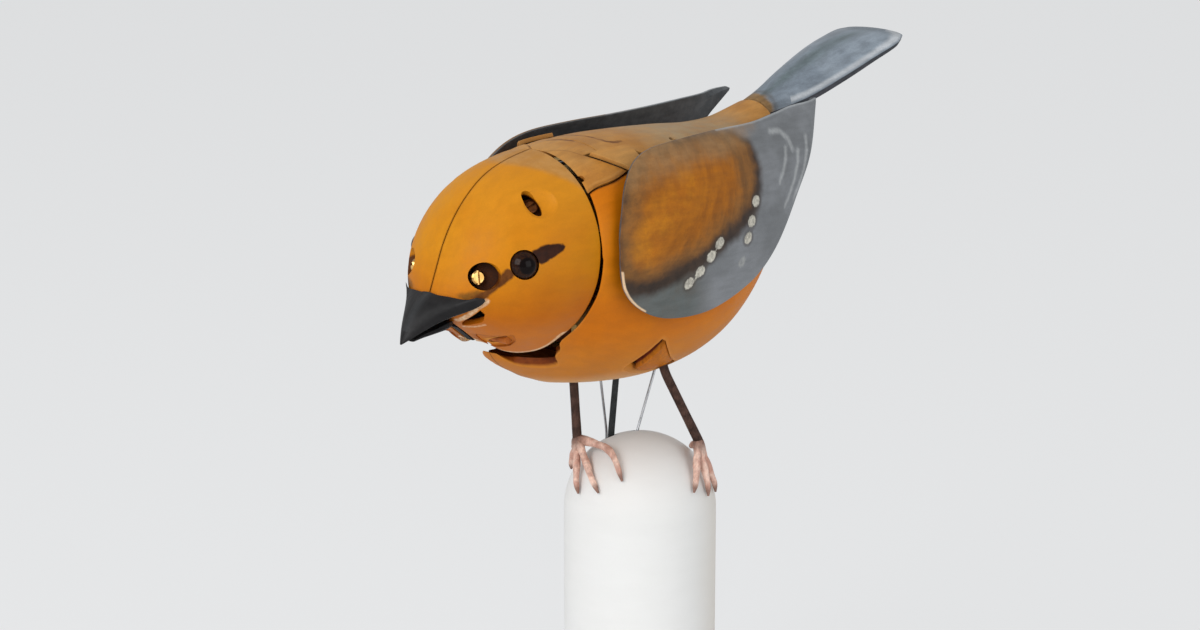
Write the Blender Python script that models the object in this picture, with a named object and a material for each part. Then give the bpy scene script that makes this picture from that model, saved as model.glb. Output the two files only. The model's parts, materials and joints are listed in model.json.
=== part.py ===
"""Singing bird automaton: a carved songbird on a domed post, worked by three finger levers in its base.

Sizes are in millimetres in the code below and become metres in make_solid.
The bird faces -Y, its left side is +X and +Z is up. The origin is the middle of the base's underside.
"""

import bisect
import math

import bmesh
import bpy
from mathutils import Vector

MM = 0.001
GAP = 0.35

# Base and post
BASE_RADIUS = 55.0
BASE_PLATE_TOP = 6.0
COVER_TOP = 42.0
COVER_WALL = 4.0
POST_RADIUS = 22.8
POST_WALL = 4.0
DOME_Z = 118.0

# Head pivot, where the turning axis and the nodding axis cross, and the plane behind it where the head ends
PIVOT = (0.0, -52.0, DOME_Z + 84.0)
HEAD_REACH = 5.9
MOUTH_GAP = 0.4
RIM_TUCK = 2.0
SHELL_WALL = 2.5

# Key slots in the cover
SLOT_LOW = 7.6
SLOT_HIGH = 29.5

# Levers: pin, spacing and the distance from pin to each rod
LEVER_PIN = (-25.0, 24.0)
LEVER_SPACING = 12.0
SONG_ARM = 22.0
TAIL_ARM = 17.0
WING_ARM = 25.0

# Axes inside the bird, as (y, z)
WING_AXIS = (16.0, DOME_Z + 104.0)
TAIL_AXIS = (30.0, DOME_Z + 104.0)
TAIL_HORN = 8.3
CRANK_AXIS = (-9.0, DOME_Z + 74.0)
CRANK_ARM = 10.0
JAW_AXIS = (-68.4, DOME_Z + 65.4)
BELLOWS_TAB_TOP = 20.1
WING_CRANK = 10.0

# Body stations: y, back, belly (both above the dome's centre), half width, height share of the widest line
# and roundness of the underside
BODY = (
    (-67.0, 73.0, 69.0, 2.0, 0.60, 2.0),
    (-62.0, 86.0, 57.5, 15.5, 0.60, 1.9),
    (-52.0, 103.0, 50.5, 24.0, 0.62, 1.7),
    (-46.0, 110.8, 48.0, 27.1, 0.62, 1.7),
    (-40.0, 113.8, 46.0, 28.6, 0.60, 1.85),
    (-25.0, 115.4, 43.8, 30.8, 0.55, 2.1),
    (-8.0, 115.3, 43.0, 31.5, 0.52, 2.1),
    (10.0, 114.5, 45.5, 30.0, 0.52, 2.1),
    (25.0, 113.5, 52.0, 26.0, 0.52, 2.1),
    (38.0, 114.3, 64.0, 20.5, 0.50, 2.1),
    (49.0, 117.4, 82.0, 13.0, 0.50, 2.1),
    (58.0, 120.0, 94.0, 9.0, 0.50, 2.1),
)
BACK_POWER = 2.1

# Head stations, with the same columns
HEAD = (
    (-85.5, 78.5, 75.9, 2.2, 0.52, 2.0),
    (-83.0, 84.8, 73.2, 9.1, 0.37, 2.2),
    (-80.0, 92.0, 71.0, 14.0, 0.42, 2.4),
    (-76.0, 98.5, 68.2, 18.2, 0.445, 2.4),
    (-71.0, 104.0, 64.4, 21.7, 0.48, 2.3),
    (-65.0, 108.5, 59.6, 24.3, 0.51, 2.1),
    (-58.0, 111.5, 57.1, 26.0, 0.53, 2.0),
    (-50.0, 113.4, 56.8, 26.6, 0.55, 2.0),
    (-42.0, 114.6, 57.5, 26.6, 0.55, 2.0),
)
HEAD_POWER = 2.0

# Wing outline from front to tip, as (y, z), low edge then high edge
WING_LOW = (
    (-43.0, 85.0),
    (-41.5, 77.6),
    (-35.6, 71.5),
    (-25.0, 67.2),
    (-8.0, 66.6),
    (8.0, 70.8),
    (20.0, 76.6),
    (33.0, 86.6),
    (42.0, 95.6),
    (50.5, 105.5),
    (58.0, 117.0),
)
WING_HIGH = (
    (-42.5, 92.0),
    (-40.0, 99.5),
    (-36.5, 106.0),
    (-30.5, 111.3),
    (-22.0, 114.0),
    (-8.0, 115.0),
    (8.0, 115.5),
    (24.0, 115.9),
    (36.0, 116.9),
    (47.0, 118.0),
    (58.4, 119.0),
)
# Wing bulge: y, half width of the outer face, height of its widest line, its roundness
WING_FORM = (
    (-44.0, 31.8, 82.0, 44.0),
    (-25.0, 34.8, 82.0, 43.5),
    (-8.0, 35.4, 82.0, 43.0),
    (10.0, 34.2, 83.0, 41.7),
    (24.0, 31.5, 86.0, 41.0),
    (38.0, 27.0, 92.0, 36.5),
    (49.0, 23.8, 102.0, 25.5),
    (59.0, 18.0, 115.0, 25.0),
)
WING_WALL = 2.2

LOOKS = {
    "ochre": ((0.55, 0.24, 0.03), 0.45, 0.0),
    "tan": ((0.42, 0.27, 0.13), 0.5, 0.0),
    "wing_grey": ((0.2, 0.21, 0.23), 0.45, 0.0),
    "tail_blue": ((0.25, 0.3, 0.36), 0.45, 0.0),
    "beak_black": ((0.03, 0.03, 0.035), 0.4, 0.0),
    "eye_glass": ((0.02, 0.01, 0.01), 0.05, 0.0),
    "leg_brown": ((0.06, 0.035, 0.03), 0.5, 0.0),
    "toe_pink": ((0.35, 0.2, 0.18), 0.55, 0.0),
    "post_white": ((0.85, 0.85, 0.83), 0.5, 0.0),
    "brass": ((0.75, 0.52, 0.2), 0.35, 1.0),
    "steel": ((0.55, 0.56, 0.58), 0.35, 1.0),
    "black_rubber": ((0.02, 0.02, 0.02), 0.6, 0.0),
    "pear_wood": ((0.5, 0.28, 0.14), 0.6, 0.0),
    "kid_leather": ((0.6, 0.45, 0.3), 0.8, 0.0),
}


def clear_scene():
    """Removes whatever the open file holds."""
    for thing in list(bpy.data.objects):
        bpy.data.objects.remove(thing, do_unlink=True)


def material(look):
    """The Principled material of one look, made once."""
    found = bpy.data.materials.get(look)
    if found:
        return found
    colour, roughness, metallic = LOOKS[look]
    made = bpy.data.materials.new(look)
    made.use_nodes = True
    shader = made.node_tree.nodes["Principled BSDF"]
    shader.inputs["Base Color"].default_value = (*colour, 1.0)
    shader.inputs["Roughness"].default_value = roughness
    shader.inputs["Metallic"].default_value = metallic
    return made


def make_solid(name, points, faces, look, pivot=(0.0, 0.0, 0.0)):
    """A closed mesh object with its origin on pivot and its faces turned outwards."""
    mesh = bpy.data.meshes.new(name)
    centre = Vector(pivot)
    mesh.from_pydata([(Vector(point) - centre) * MM for point in points], [], faces)
    work = bmesh.new()
    work.from_mesh(mesh)
    bmesh.ops.remove_doubles(work, verts=work.verts, dist=0.00001)
    bmesh.ops.recalc_face_normals(work, faces=work.faces)
    work.to_mesh(mesh)
    work.free()
    mesh.materials.append(material(look))
    mesh.shade_smooth()
    mesh.set_sharp_from_angle(angle=math.radians(40.0))
    solid = bpy.data.objects.new(name, mesh)
    solid.location = centre * MM
    bpy.context.scene.collection.objects.link(solid)
    return solid


def boolean(target, other, operation):
    """Cuts other out of target, or joins it on; other is then hidden."""
    step = target.modifiers.new(f"{operation.lower()}_{other.name}"[:60], "BOOLEAN")
    step.operation = operation
    step.object = other
    step.solver = "EXACT"
    other.hide_render = True
    other.display_type = "WIRE"


def cut(target, *cutters):
    for cutter in cutters:
        boolean(target, cutter, "DIFFERENCE")


def join(target, *others):
    for other in others:
        boolean(target, other, "UNION")


def through(stations, where):
    """Smooth values at where, through stations whose first entry is the position."""
    places = [station[0] for station in stations]
    last = len(places) - 1
    low = min(max(bisect.bisect_right(places, where) - 1, 0), last - 1)
    span = places[low + 1] - places[low]
    part = (where - places[low]) / span
    found = []
    for column in range(1, len(stations[0])):
        ends = []
        for place in (low, low + 1):
            before = max(place - 1, 0)
            after = min(place + 1, last)
            rise = stations[after][column] - stations[before][column]
            ends.append(rise / (places[after] - places[before]) * span)
        start = stations[low][column]
        stop = stations[low + 1][column]
        found.append(
            (2 * part**3 - 3 * part**2 + 1) * start
            + (part**3 - 2 * part**2 + part) * ends[0]
            + (3 * part**2 - 2 * part**3) * stop
            + (part**3 - part**2) * ends[1]
        )
    return found


def steps(start, stop, count):
    """count + 1 even values from start to stop."""
    return [start + (stop - start) * index / count for index in range(count + 1)]


def section_point(stations, power, y, angle, inset):
    """A point of a shell's section at y; the angle is measured from straight up towards +X."""
    top, bottom, half, widest, low_power = through(stations, y)
    middle = bottom + widest * (top - bottom)
    up = math.cos(angle) > 0
    reach = (top - middle if up else middle - bottom) - inset
    curve = 2.0 / (power if up else low_power)
    x = (half - inset) * math.copysign(abs(math.sin(angle)) ** curve, math.sin(angle))
    z = middle + reach * math.copysign(abs(math.cos(angle)) ** curve, math.cos(angle))
    return (x, y, DOME_Z + z)


def body_point(y, angle, inset=0.0):
    return section_point(BODY, BACK_POWER, y, angle, inset)


def head_point(y, angle, inset=0.0):
    return section_point(HEAD, HEAD_POWER, y, angle, inset)


# Breast shell's front edge below the head's widest line, as distance from the middle and y
THROAT = ((0.0, -63.5), (4.0, -61.6), (6.7, -55.4), (9.0, -50.6), (10.9, -47.2), (12.0, -47.6), (13.4, -50.4),
          (15.3, -50.3), (16.6, -51.9), (18.5, -50.8), (20.4, -49.0), (24.0, -46.6), (26.2, -45.6), (32.0, -45.6))


def swept_radius(z):
    """How far from its turning axis the head's rear rim reaches at one height."""
    top, bottom, half, widest, _ = through(HEAD, PIVOT[1] + HEAD_REACH)
    middle = bottom + widest * (top - bottom)
    share = (z - DOME_Z - middle) / (top - middle if z - DOME_Z > middle else middle - bottom)
    across = half * math.sqrt(max(0.0, 1.0 - share * share))
    return math.hypot(across, HEAD_REACH) if across else 0.0


def mouth_start(angle, inset=0.0):
    """Where the body's skin starts behind the head, clear of the head's turning rim."""
    y = -66.0
    while True:
        x, _, z = body_point(y, angle, inset)
        edge = PIVOT[1] + HEAD_REACH + 0.5 if math.cos(angle) > 0 else through(THROAT, abs(x))[0]
        if y >= edge and math.hypot(x, y - PIVOT[1]) > swept_radius(z) + MOUTH_GAP:
            return y
        y += 0.1


def grid_faces(rows, columns, offset, flip, wrap):
    """Quads of a grid of points, as index tuples."""
    faces = []
    for row in range(rows - 1):
        for column in range(columns if wrap else columns - 1):
            after = (column + 1) % columns
            quad = (
                offset + row * columns + column,
                offset + row * columns + after,
                offset + (row + 1) * columns + after,
                offset + (row + 1) * columns + column,
            )
            faces.append(quad[::-1] if flip else quad)
    return faces


def shell_solid(name, outer, inner, look, pivot=(0.0, 0.0, 0.0), wrap=False):
    """A thick skin between two grids of points of the same layout."""
    rows = len(outer)
    columns = len(outer[0])
    size = rows * columns
    points = [point for row in outer for point in row] + [point for row in inner for point in row]
    faces = grid_faces(rows, columns, 0, False, wrap) + grid_faces(rows, columns, size, True, wrap)
    for row in (0, rows - 1):
        for column in range(columns if wrap else columns - 1):
            after = (column + 1) % columns
            a, b = row * columns + column, row * columns + after
            faces.append((a, b, size + b, size + a))
    if not wrap:
        for column in (0, columns - 1):
            for row in range(rows - 1):
                a, b = row * columns + column, (row + 1) * columns + column
                faces.append((a, b, size + b, size + a))
    return make_solid(name, points, faces, look, pivot)


def loft_solid(name, rings, look, pivot=(0.0, 0.0, 0.0)):
    """A solid through closed rings, with flat or pointed ends."""
    columns = len(rings[0])
    points = [point for ring in rings for point in ring]
    faces = grid_faces(len(rings), columns, 0, False, True)
    faces.append(tuple(range(columns)))
    faces.append(tuple(len(points) - columns + index for index in range(columns)))
    return make_solid(name, points, faces, look, pivot)


def circle(centre, across, up, radius, sides, turn=0.0):
    """A ring of points round centre in the plane of two unit vectors."""
    ring = []
    for index in range(sides):
        angle = turn + 2 * math.pi * index / sides
        ring.append(tuple(Vector(centre) + radius * (math.cos(angle) * across + math.sin(angle) * up)))
    return ring


def tube_solid(name, path, radii, look, sides=8, pivot=(0.0, 0.0, 0.0)):
    """A rod along a path, with one radius or one for each point."""
    path = [Vector(point) for point in path]
    if isinstance(radii, (int, float)):
        radii = [radii] * len(path)
    rings = []
    across = None
    for index, point in enumerate(path):
        ahead = path[min(index + 1, len(path) - 1)] - point
        behind = point - path[max(index - 1, 0)]
        along = (ahead.normalized() + behind.normalized()).normalized()
        if across is None:
            guide = Vector((0, 0, 1)) if abs(along.z) < 0.9 else Vector((0, 1, 0))
            across = along.cross(guide).normalized()
        across = (across - along * across.dot(along)).normalized()
        rings.append(circle(point, across, along.cross(across), radii[index], sides, math.pi / sides))
    return loft_solid(name, rings, look, pivot)


def rod_x(name, x_low, x_high, y, z, radius, look, sides=12, pivot=(0.0, 0.0, 0.0)):
    return tube_solid(name, [(x_low, y, z), (x_high, y, z)], radius, look, sides, pivot)


def prism_x(name, outline, x_low, x_high, look, pivot=(0.0, 0.0, 0.0)):
    """An outline of (y, z) points drawn out along X."""
    rings = [[(x, y, z) for y, z in outline] for x in (x_low, x_high)]
    return loft_solid(name, rings, look, pivot)


def prism_y(name, outline, y_low, y_high, look, pivot=(0.0, 0.0, 0.0)):
    """An outline of (x, z) points drawn out along Y."""
    rings = [[(x, y, z) for x, z in outline] for y in (y_low, y_high)]
    return loft_solid(name, rings, look, pivot)


def prism_z(name, outline, z_low, z_high, look, pivot=(0.0, 0.0, 0.0)):
    """An outline of (x, y) points drawn out along Z."""
    rings = [[(x, y, z) for x, y in outline] for z in (z_low, z_high)]
    return loft_solid(name, rings, look, pivot)


def box(name, low, high, look, pivot=(0.0, 0.0, 0.0)):
    outline = [(low[0], low[1]), (high[0], low[1]), (high[0], high[1]), (low[0], high[1])]
    return prism_z(name, outline, low[2], high[2], look, pivot)


def oval(centre, half_x, half_y, sides):
    """Points of an ellipse as (x, y)."""
    turns = [2 * math.pi * index / sides for index in range(sides)]
    return [(centre[0] + half_x * math.cos(t), centre[1] + half_y * math.sin(t)) for t in turns]


def turned_ring(name, profile, centre, sides, look):
    """A hollow turned piece from a closed (radius, z) profile that stays off the axis."""
    rows = []
    for index in range(sides):
        angle = 2 * math.pi * index / sides
        rows.append([(centre[0] + r * math.cos(angle), centre[1] + r * math.sin(angle), z) for r, z in profile])
    rows.append(rows[0])
    points = [point for row in rows for point in row]
    return make_solid(name, points, grid_faces(len(rows), len(profile), 0, False, True), look)


def arc(radius, start, stop, count, centre=(0.0, 0.0)):
    """Points of an arc in degrees, as pairs."""
    turns = [math.radians(angle) for angle in steps(start, stop, count)]
    return [(centre[0] + radius * math.cos(t), centre[1] + radius * math.sin(t)) for t in turns]


def make_base():
    """Weighted plate, white cover with three key slots, and the bracket that carries the lever pin."""
    pin_y, pin_z = LEVER_PIN
    plate_profile = [(BASE_RADIUS - 1.0, 0.0), (BASE_RADIUS, 1.0), (BASE_RADIUS, BASE_PLATE_TOP)]
    rings = [[(r * math.cos(t), r * math.sin(t), z) for t in
              [2 * math.pi * index / 40 for index in range(40)]] for r, z in plate_profile]
    loft_solid("base_plate", rings, "post_white")
    low = BASE_PLATE_TOP + GAP
    outer = BASE_RADIUS - 0.5
    hole = 18.0
    profile = [(outer, low)] + arc(8.0, 0, 90, 4, (outer - 8.0, COVER_TOP - 8.0))
    profile += [(hole, COVER_TOP), (hole, COVER_TOP - COVER_WALL)]
    profile += [(outer - 10.0, COVER_TOP - COVER_WALL), (outer - COVER_WALL, COVER_TOP - 10.0)]
    profile += [(outer - COVER_WALL, low)]
    cover = turned_ring("base_cover", profile, (0, 0), 40, "post_white")
    for side in (-1, 0, 1):
        x = side * LEVER_SPACING
        low_corner, high_corner = (x - 2.6, 30.0, SLOT_LOW), (x + 2.6, 60.0, SLOT_HIGH)
        cut(cover, box(f"slot_cutter_{side + 1}", low_corner, high_corner, "steel"))
    ear = 3.0
    base = box("lever_bracket", (-21.0, pin_y - 6.0, low), (21.0, pin_y + 6.0, low + ear), "brass")
    for number, x in enumerate((-21.0, 18.0)):
        outline = [(pin_y - 5.0, low + 1.0), (pin_y + 5.0, low + 1.0), (pin_y + 4.0, pin_z + 3.0),
                   (pin_y - 4.0, pin_z + 3.0)]
        cheek = prism_x(f"bracket_ear_{number}", outline, x, x + ear, "brass")
        join(base, cheek)
    cut(base, rod_x("bracket_bore", -25.0, 25.0, pin_y, pin_z, 1.75, "steel"))
    rod_x("lever_pin", -22.0, 22.0, pin_y, pin_z, 1.5, "steel")


def make_lever(name, side, rod_arm):
    """A finger lever: a bar on the common pin, with a round key outside the cover."""
    y, z = LEVER_PIN
    x = side * LEVER_SPACING
    pivot = (x, y, z)
    key = 75.0
    outline = [(y - 4.0, z - 2.5), (y - 4.0, z + 2.5), (y - 2.0, z + 4.0), (y + 3.0, z + 4.0), (46.0, z + 3.0),
               (key - 5.0, z + 1.0), (key - 5.0, z - 1.6), (46.0, z - 3.0), (y + 3.0, z - 4.0), (y - 2.0, z - 4.0)]
    lever = prism_x(name, outline, x - 1.5, x + 1.5, "brass", pivot)
    pad = [(x + 4.6 * math.cos(t), key - 5.0 + 5.5 * math.sin(t))
           for t in [2 * math.pi * index / 12 for index in range(12)]]
    join(lever, prism_z(f"{name}_pad", pad, z - 1.4, z + 2.6, "brass", pivot))
    cut(lever, rod_x(f"{name}_bore", x - 3.0, x + 3.0, y, z, 1.75, "steel"))
    slot = [(y + rod_arm + dy, z + dz) for dy, dz in ((-1.3, -0.9), (1.3, -0.9), (1.3, 0.9), (-1.3, 0.9))]
    cut(lever, prism_x(f"{name}_slot", slot, x - 3.0, x + 3.0, "steel"))
    return lever


def make_spring(name, side):
    """The outline of a coil spring between base plate and lever, hidden under the cover."""
    y = 20.0
    low = BASE_PLATE_TOP + GAP
    high = LEVER_PIN[1] - 4.4
    profile = [(2.4, low), (2.4, high), (1.4, high), (1.4, low)]
    turned_ring(name, profile, (side * LEVER_SPACING, y), 10, "steel")


def make_bellows():
    """Song bellows beside the song lever, and the whistle that it blows."""
    low = BASE_PLATE_TOP + GAP
    hinge = (-32.0, -24.0, low + 4.0)
    x_low, x_high = -42.0, -22.0
    box("bellows_lower_board", (x_low, -26.0, low), (x_high, 26.0, low + 2.0), "pear_wood")
    rise = math.tan(math.radians(17.0))
    front, back = -24.0, 25.0
    bottom = [(front, hinge[2] - 0.9), (back, hinge[2] - 0.9 + (back - front) * rise)]
    outline = bottom + [(back, bottom[1][1] + 2.0), (front, bottom[0][1] + 2.0)]
    upper = prism_x("bellows_upper_board", outline, x_low, x_high, "pear_wood", hinge)
    join(upper, box("bellows_tab", (x_high - 0.7, 8.0, BELLOWS_TAB_TOP - 1.8),
                    (-LEVER_SPACING + 1.5, 12.0, BELLOWS_TAB_TOP), "pear_wood", hinge))
    leather = [(front + 3.0, low + 2.0 + GAP), (back - 2.0, low + 2.0 + GAP),
               (back - 2.0, bottom[1][1] - 1.0), (front + 3.0, bottom[0][1] + 3.0 * rise - GAP)]
    prism_x("bellows_leather", leather, x_low + 1.5, x_high - 1.5, "kid_leather")
    pipe = tube_solid("whistle_pipe", [(30.0, -22.0, low + 5.3), (30.0, 24.0, low + 5.3)], 5.0, "brass", 12)
    cut(pipe, tube_solid("whistle_bore", [(30.0, -19.0, low + 5.3), (30.0, 30.0, low + 5.3)], 3.8, "brass", 12),
        box("whistle_mouth", (26.0, -15.0, low + 8.0), (34.0, -10.0, low + 12.0), "brass"))


def make_post():
    """White turned post with a domed top and three guide holes."""
    low = COVER_TOP + GAP
    outer = [(POST_RADIUS, low)] + arc(POST_RADIUS, 0, 84, 8, (0.0, DOME_Z))
    inner_r = POST_RADIUS - POST_WALL
    inner = arc(inner_r, 84, 0, 6, (0.0, DOME_Z)) + [(inner_r, low)]
    rings = [[(r * math.cos(t), r * math.sin(t), z) for t in
              [2 * math.pi * index / 28 for index in range(28)]] for r, z in outer + inner]
    sides = 28
    rows = len(rings)
    outer_rows = len(outer)
    points = [point for ring in rings for point in ring]
    faces = grid_faces(outer_rows, sides, 0, False, True)
    faces += grid_faces(rows - outer_rows, sides, outer_rows * sides, False, True)
    top = (outer_rows - 1) * sides
    under = outer_rows * sides
    last = (rows - 1) * sides
    faces.append(tuple(top + index for index in range(sides)))
    faces.append(tuple(under + index for index in range(sides)))
    for index in range(sides):
        after = (index + 1) % sides
        faces.append((index, after, last + after, last + index))
    post = make_solid("perch_post", points, faces, "post_white")
    for name, (x, y), half in (("song", SONG_EXIT, (1.4, 2.2)), ("wing", WING_EXIT, (2.0, 2.0)),
                               ("tail", TAIL_EXIT, (1.5, 2.4))):
        cutter = prism_z(f"{name}_guide", oval((x, y), *half, 10), DOME_Z + 12.0, DOME_Z + 26.0, "steel")
        cut(post, cutter)


# Where each rod leaves the dome and where its upper end works
SONG_EXIT = (-12.8, -1.0)
WING_EXIT = (-9.4, -2.6)
TAIL_EXIT = (-4.2, 3.1)
EXIT_Z = DOME_Z + 21.5
SONG_TOP = (-3.2, -19.0, CRANK_AXIS[1])
WING_TOP = (0.0, -2.7, DOME_Z + 104.75)
TAIL_TOP = (-3.2, TAIL_AXIS[0] + TAIL_HORN, TAIL_AXIS[1] + 1.0)


def make_rod(name, side, arm, exit_xy, top, radius, look):
    """A bent steel rod: hooked into its lever, up the post, out of the dome and on to its crank."""
    lever_x = side * LEVER_SPACING
    y, z = LEVER_PIN[0] + arm, LEVER_PIN[1]
    beside = lever_x + 3.4
    leave = (*exit_xy, EXIT_Z)
    path = [(lever_x - 2.6, y, z), (beside - 0.8, y, z), (beside, y, z + 0.8), (beside, y, 48.0),
            (*exit_xy, 92.0), (*exit_xy, EXIT_Z - 6.0), leave]
    if name == "wing_rod":
        return tube_solid(name, path + [top], radius, look, 8)
    reach = 5.0
    path += [(top[0], top[1], top[2] - 0.8), (top[0] + 0.8, top[1], top[2]), (top[0] + reach, top[1], top[2])]
    return tube_solid(name, path, radius, look, 6)


def make_rods():
    make_rod("song_rod", -1, SONG_ARM, SONG_EXIT, SONG_TOP, 0.4, "steel")
    make_rod("tail_rod", 1, TAIL_ARM, TAIL_EXIT, TAIL_TOP, 0.4, "steel")
    make_rod("wing_rod", 0, WING_ARM, WING_EXIT, WING_TOP, 0.75, "black_rubber")
    x, y, z = WING_TOP
    z += 0.9 + GAP
    bar = box("wing_yoke", (-7.0, y - 1.2, z - 0.9), (7.0, y + 1.2, z + 1.3), "brass")
    for number, side in enumerate((-1, 1)):
        join(bar, tube_solid(f"yoke_pin_{number}", [(side * 6.0, y, z + 0.2), (side * 6.0, y + 5.4, z + 0.2)],
                             0.8, "brass", 8))


def make_frame():
    """Two side plates with bearing ears for the wing shafts, and the spacer between them."""
    def z(value):
        return DOME_Z + value
    outline = [(-38.0, z(57)), (-38.0, z(70)), (-28.0, z(90)), (-14.0, z(97)), (20.0, z(97)), (26.0, z(108)),
               (34.0, z(108)), (35.0, z(98)), (28.0, z(70)), (18.0, z(58)), (-16.0, z(52)), (-30.0, z(53))]
    for word, side in (("left", 1), ("right", -1)):
        x_low, x_high = sorted((side * 8.0, side * 10.0))
        plate = prism_x(f"frame_plate_{word}", outline, x_low, x_high, "brass")
        for number, y in enumerate((-18.0, 10.0)):
            corners = ((9.0, z(91)), (19.0, z(101)), (19.0, z(106.6)), (9.0, z(101)))
            ear = [(side * x, height) for x, height in corners]
            join(plate, prism_y(f"bearing_ear_{word}_{number}", ear, y, y + 3.0, "brass"))
        bore = tube_solid(f"bearing_bore_{word}", [(side * WING_AXIS[0], -22.0, WING_AXIS[1]),
                                                   (side * WING_AXIS[0], 20.0, WING_AXIS[1])], 1.45, "steel", 12)
        cut(plate, bore)
        for label, (y, height), radius in (("tail", TAIL_AXIS, 1.75), ("crank", CRANK_AXIS, 1.45),
                                           ("spacer", (10.0, z(90)), 1.75)):
            cut(plate, rod_x(f"{label}_bore_{word}", x_low - 2.0, x_high + 2.0, y, height, radius, "steel"))
    rod_x("frame_spacer", -10.5, 10.5, 10.0, z(90), 1.5, "steel")
    rod_x("tail_pin", -10.5, 10.5, *TAIL_AXIS, 1.5, "steel")
    rod_x("crank_pin", -10.5, 10.5, *CRANK_AXIS, 1.2, "steel")


def make_song_crank():
    """Bell crank in the body, and the two links that carry its push through the neck to the jaw."""
    y, z = CRANK_AXIS
    pivot = (0.0, y, z)
    arm = CRANK_ARM
    outline = [(y + 2.6, z - 2.6), (y + 2.6, z + 4.0), (y + 1.6, z + arm + 2.2), (y - 1.6, z + arm + 2.2),
               (y - 2.2, z + 3.0), (y - arm - 2.0, z + 1.7), (y - arm - 2.0, z - 1.7)]
    crank = prism_x("song_crank", outline, -1.0, 1.0, "brass", pivot)
    cut(crank, rod_x("crank_bore", -3.0, 3.0, y, z, 1.45, "steel"))
    for label, (dy, dz) in (("low", (-arm, 0.0)), ("high", (0.0, arm))):
        long_y, long_z = (1.35, 0.8) if label == "low" else (0.8, 1.35)
        slot = [(y + dy + sy * long_y, z + dz + sz * long_z) for sy, sz in ((-1, -1), (1, -1), (1, 1), (-1, 1))]
        cut(crank, prism_x(f"crank_slot_{label}", slot, -3.0, 3.0, "steel"))
    z = PIVOT[2]
    rear = [(-2.0, y, z), (2.4, y, z), (3.0, y - 0.6, z), (3.0, y - 4.0, z), (0.0, y - 10.0, z),
            (0.0, PIVOT[1] + 5.5, z)]
    tube_solid("beak_link_rear", rear, 0.4, "steel", 6)
    jaw_y = JAW_AXIS[0]
    front = [(0.0, PIVOT[1] + 0.5, z), (0.0, jaw_y + 7.0, z), (2.6, jaw_y + 3.0, z), (2.6, jaw_y + 0.6, z),
             (2.0, jaw_y, z), (-2.0, jaw_y, z)]
    tube_solid("beak_link_front", front, 0.4, "steel", 6)


def make_neck():
    """Fixed bracket, turning yoke and the two nod pins."""
    x, y, z = PIVOT
    low = DOME_Z + 62.5
    bracket = box("neck_bracket", (-7.6, -38.0, DOME_Z + 58.0), (7.6, -30.0, DOME_Z + 67.0), "pear_wood")
    join(bracket, box("neck_bar", (-5.0, y - 4.5, low), (5.0, -35.0, low + 3.0), "pear_wood"),
         tube_solid("neck_journal", [(x, y, low + 1.0), (x, y, DOME_Z + 71.0)], 2.5, "pear_wood", 12))
    base = DOME_Z + 66.0
    half = 13.0
    yoke = box("neck_yoke", (-half, y - 4.0, base), (half, y + 4.0, base + 3.0), "brass", PIVOT)
    for number, side in enumerate((-1, 1)):
        x_low, x_high = sorted((side * 10.6, side * half))
        outline = [(y - 4.0, base + 1.0), (y + 4.0, base + 1.0), (y + 3.0, z + 3.5), (y - 3.0, z + 3.5)]
        join(yoke, prism_x(f"yoke_arm_{number}", outline, x_low, x_high, "brass", PIVOT))
    cut(yoke, tube_solid("yoke_bore", [(x, y, base - 2.0), (x, y, base + 5.0)], 2.8, "steel", 12),
        rod_x("yoke_pin_bore", -20.0, 20.0, y, z, 1.45, "steel"))
    for word, side in (("left", 1), ("right", -1)):
        x_low, x_high = sorted((side * 4.0, side * 13.6))
        rod_x(f"nod_pin_{word}", x_low, x_high, y, z, 1.2, "steel", 12, PIVOT)


# Screw pockets of the head, as (y, angle from straight up, pocket radius)
HEAD_POCKETS = {"forehead": (-78.6, 71.5, 4.1), "crown": (-62.4, 43.5, 3.6)}
# Corner of the mouth below the beak's base, as (distance from the middle, height)
GAPE = ((6.1, 70.3), (9.3, 70.9), (12.3, 71.8), (13.9, 74.0), (13.8, 75.8), (11.0, 73.7))
EYE_CENTRE = (19.4, -69.0, DOME_Z + 87.4)
EYE_RADIUS = 4.3


def pocket(label, side):
    """Centre and outward direction of one screw pocket."""
    y, degrees, radius = HEAD_POCKETS[label]
    angle = math.radians(degrees) * side
    here = Vector(head_point(y, angle))
    along = Vector(head_point(y + 1.0, angle)) - Vector(head_point(y - 1.0, angle))
    around = Vector(head_point(y, angle + 0.05)) - Vector(head_point(y, angle - 0.05))
    out = along.cross(around).normalized()
    if out.dot(here - Vector(PIVOT)) < 0:
        out = -out
    return here, out, radius


def degrees_of(angle):
    return abs(math.degrees(angle))


def rim_y(angle):
    """The head shell's rear edge: upright behind the cheek, drawn forward under the throat."""
    degrees = degrees_of(angle)
    edge = through(((0.0, 0.0), (60.0, 0.0), (103.0, 0.0), (116.0, -1.0), (130.0, -3.2), (140.0, -6.4),
                    (151.0, -9.0), (156.0, -14.0), (161.0, -19.0), (168.0, -23.2), (180.0, -24.0)), degrees)
    return PIVOT[1] + HEAD_REACH + edge[0]


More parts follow.
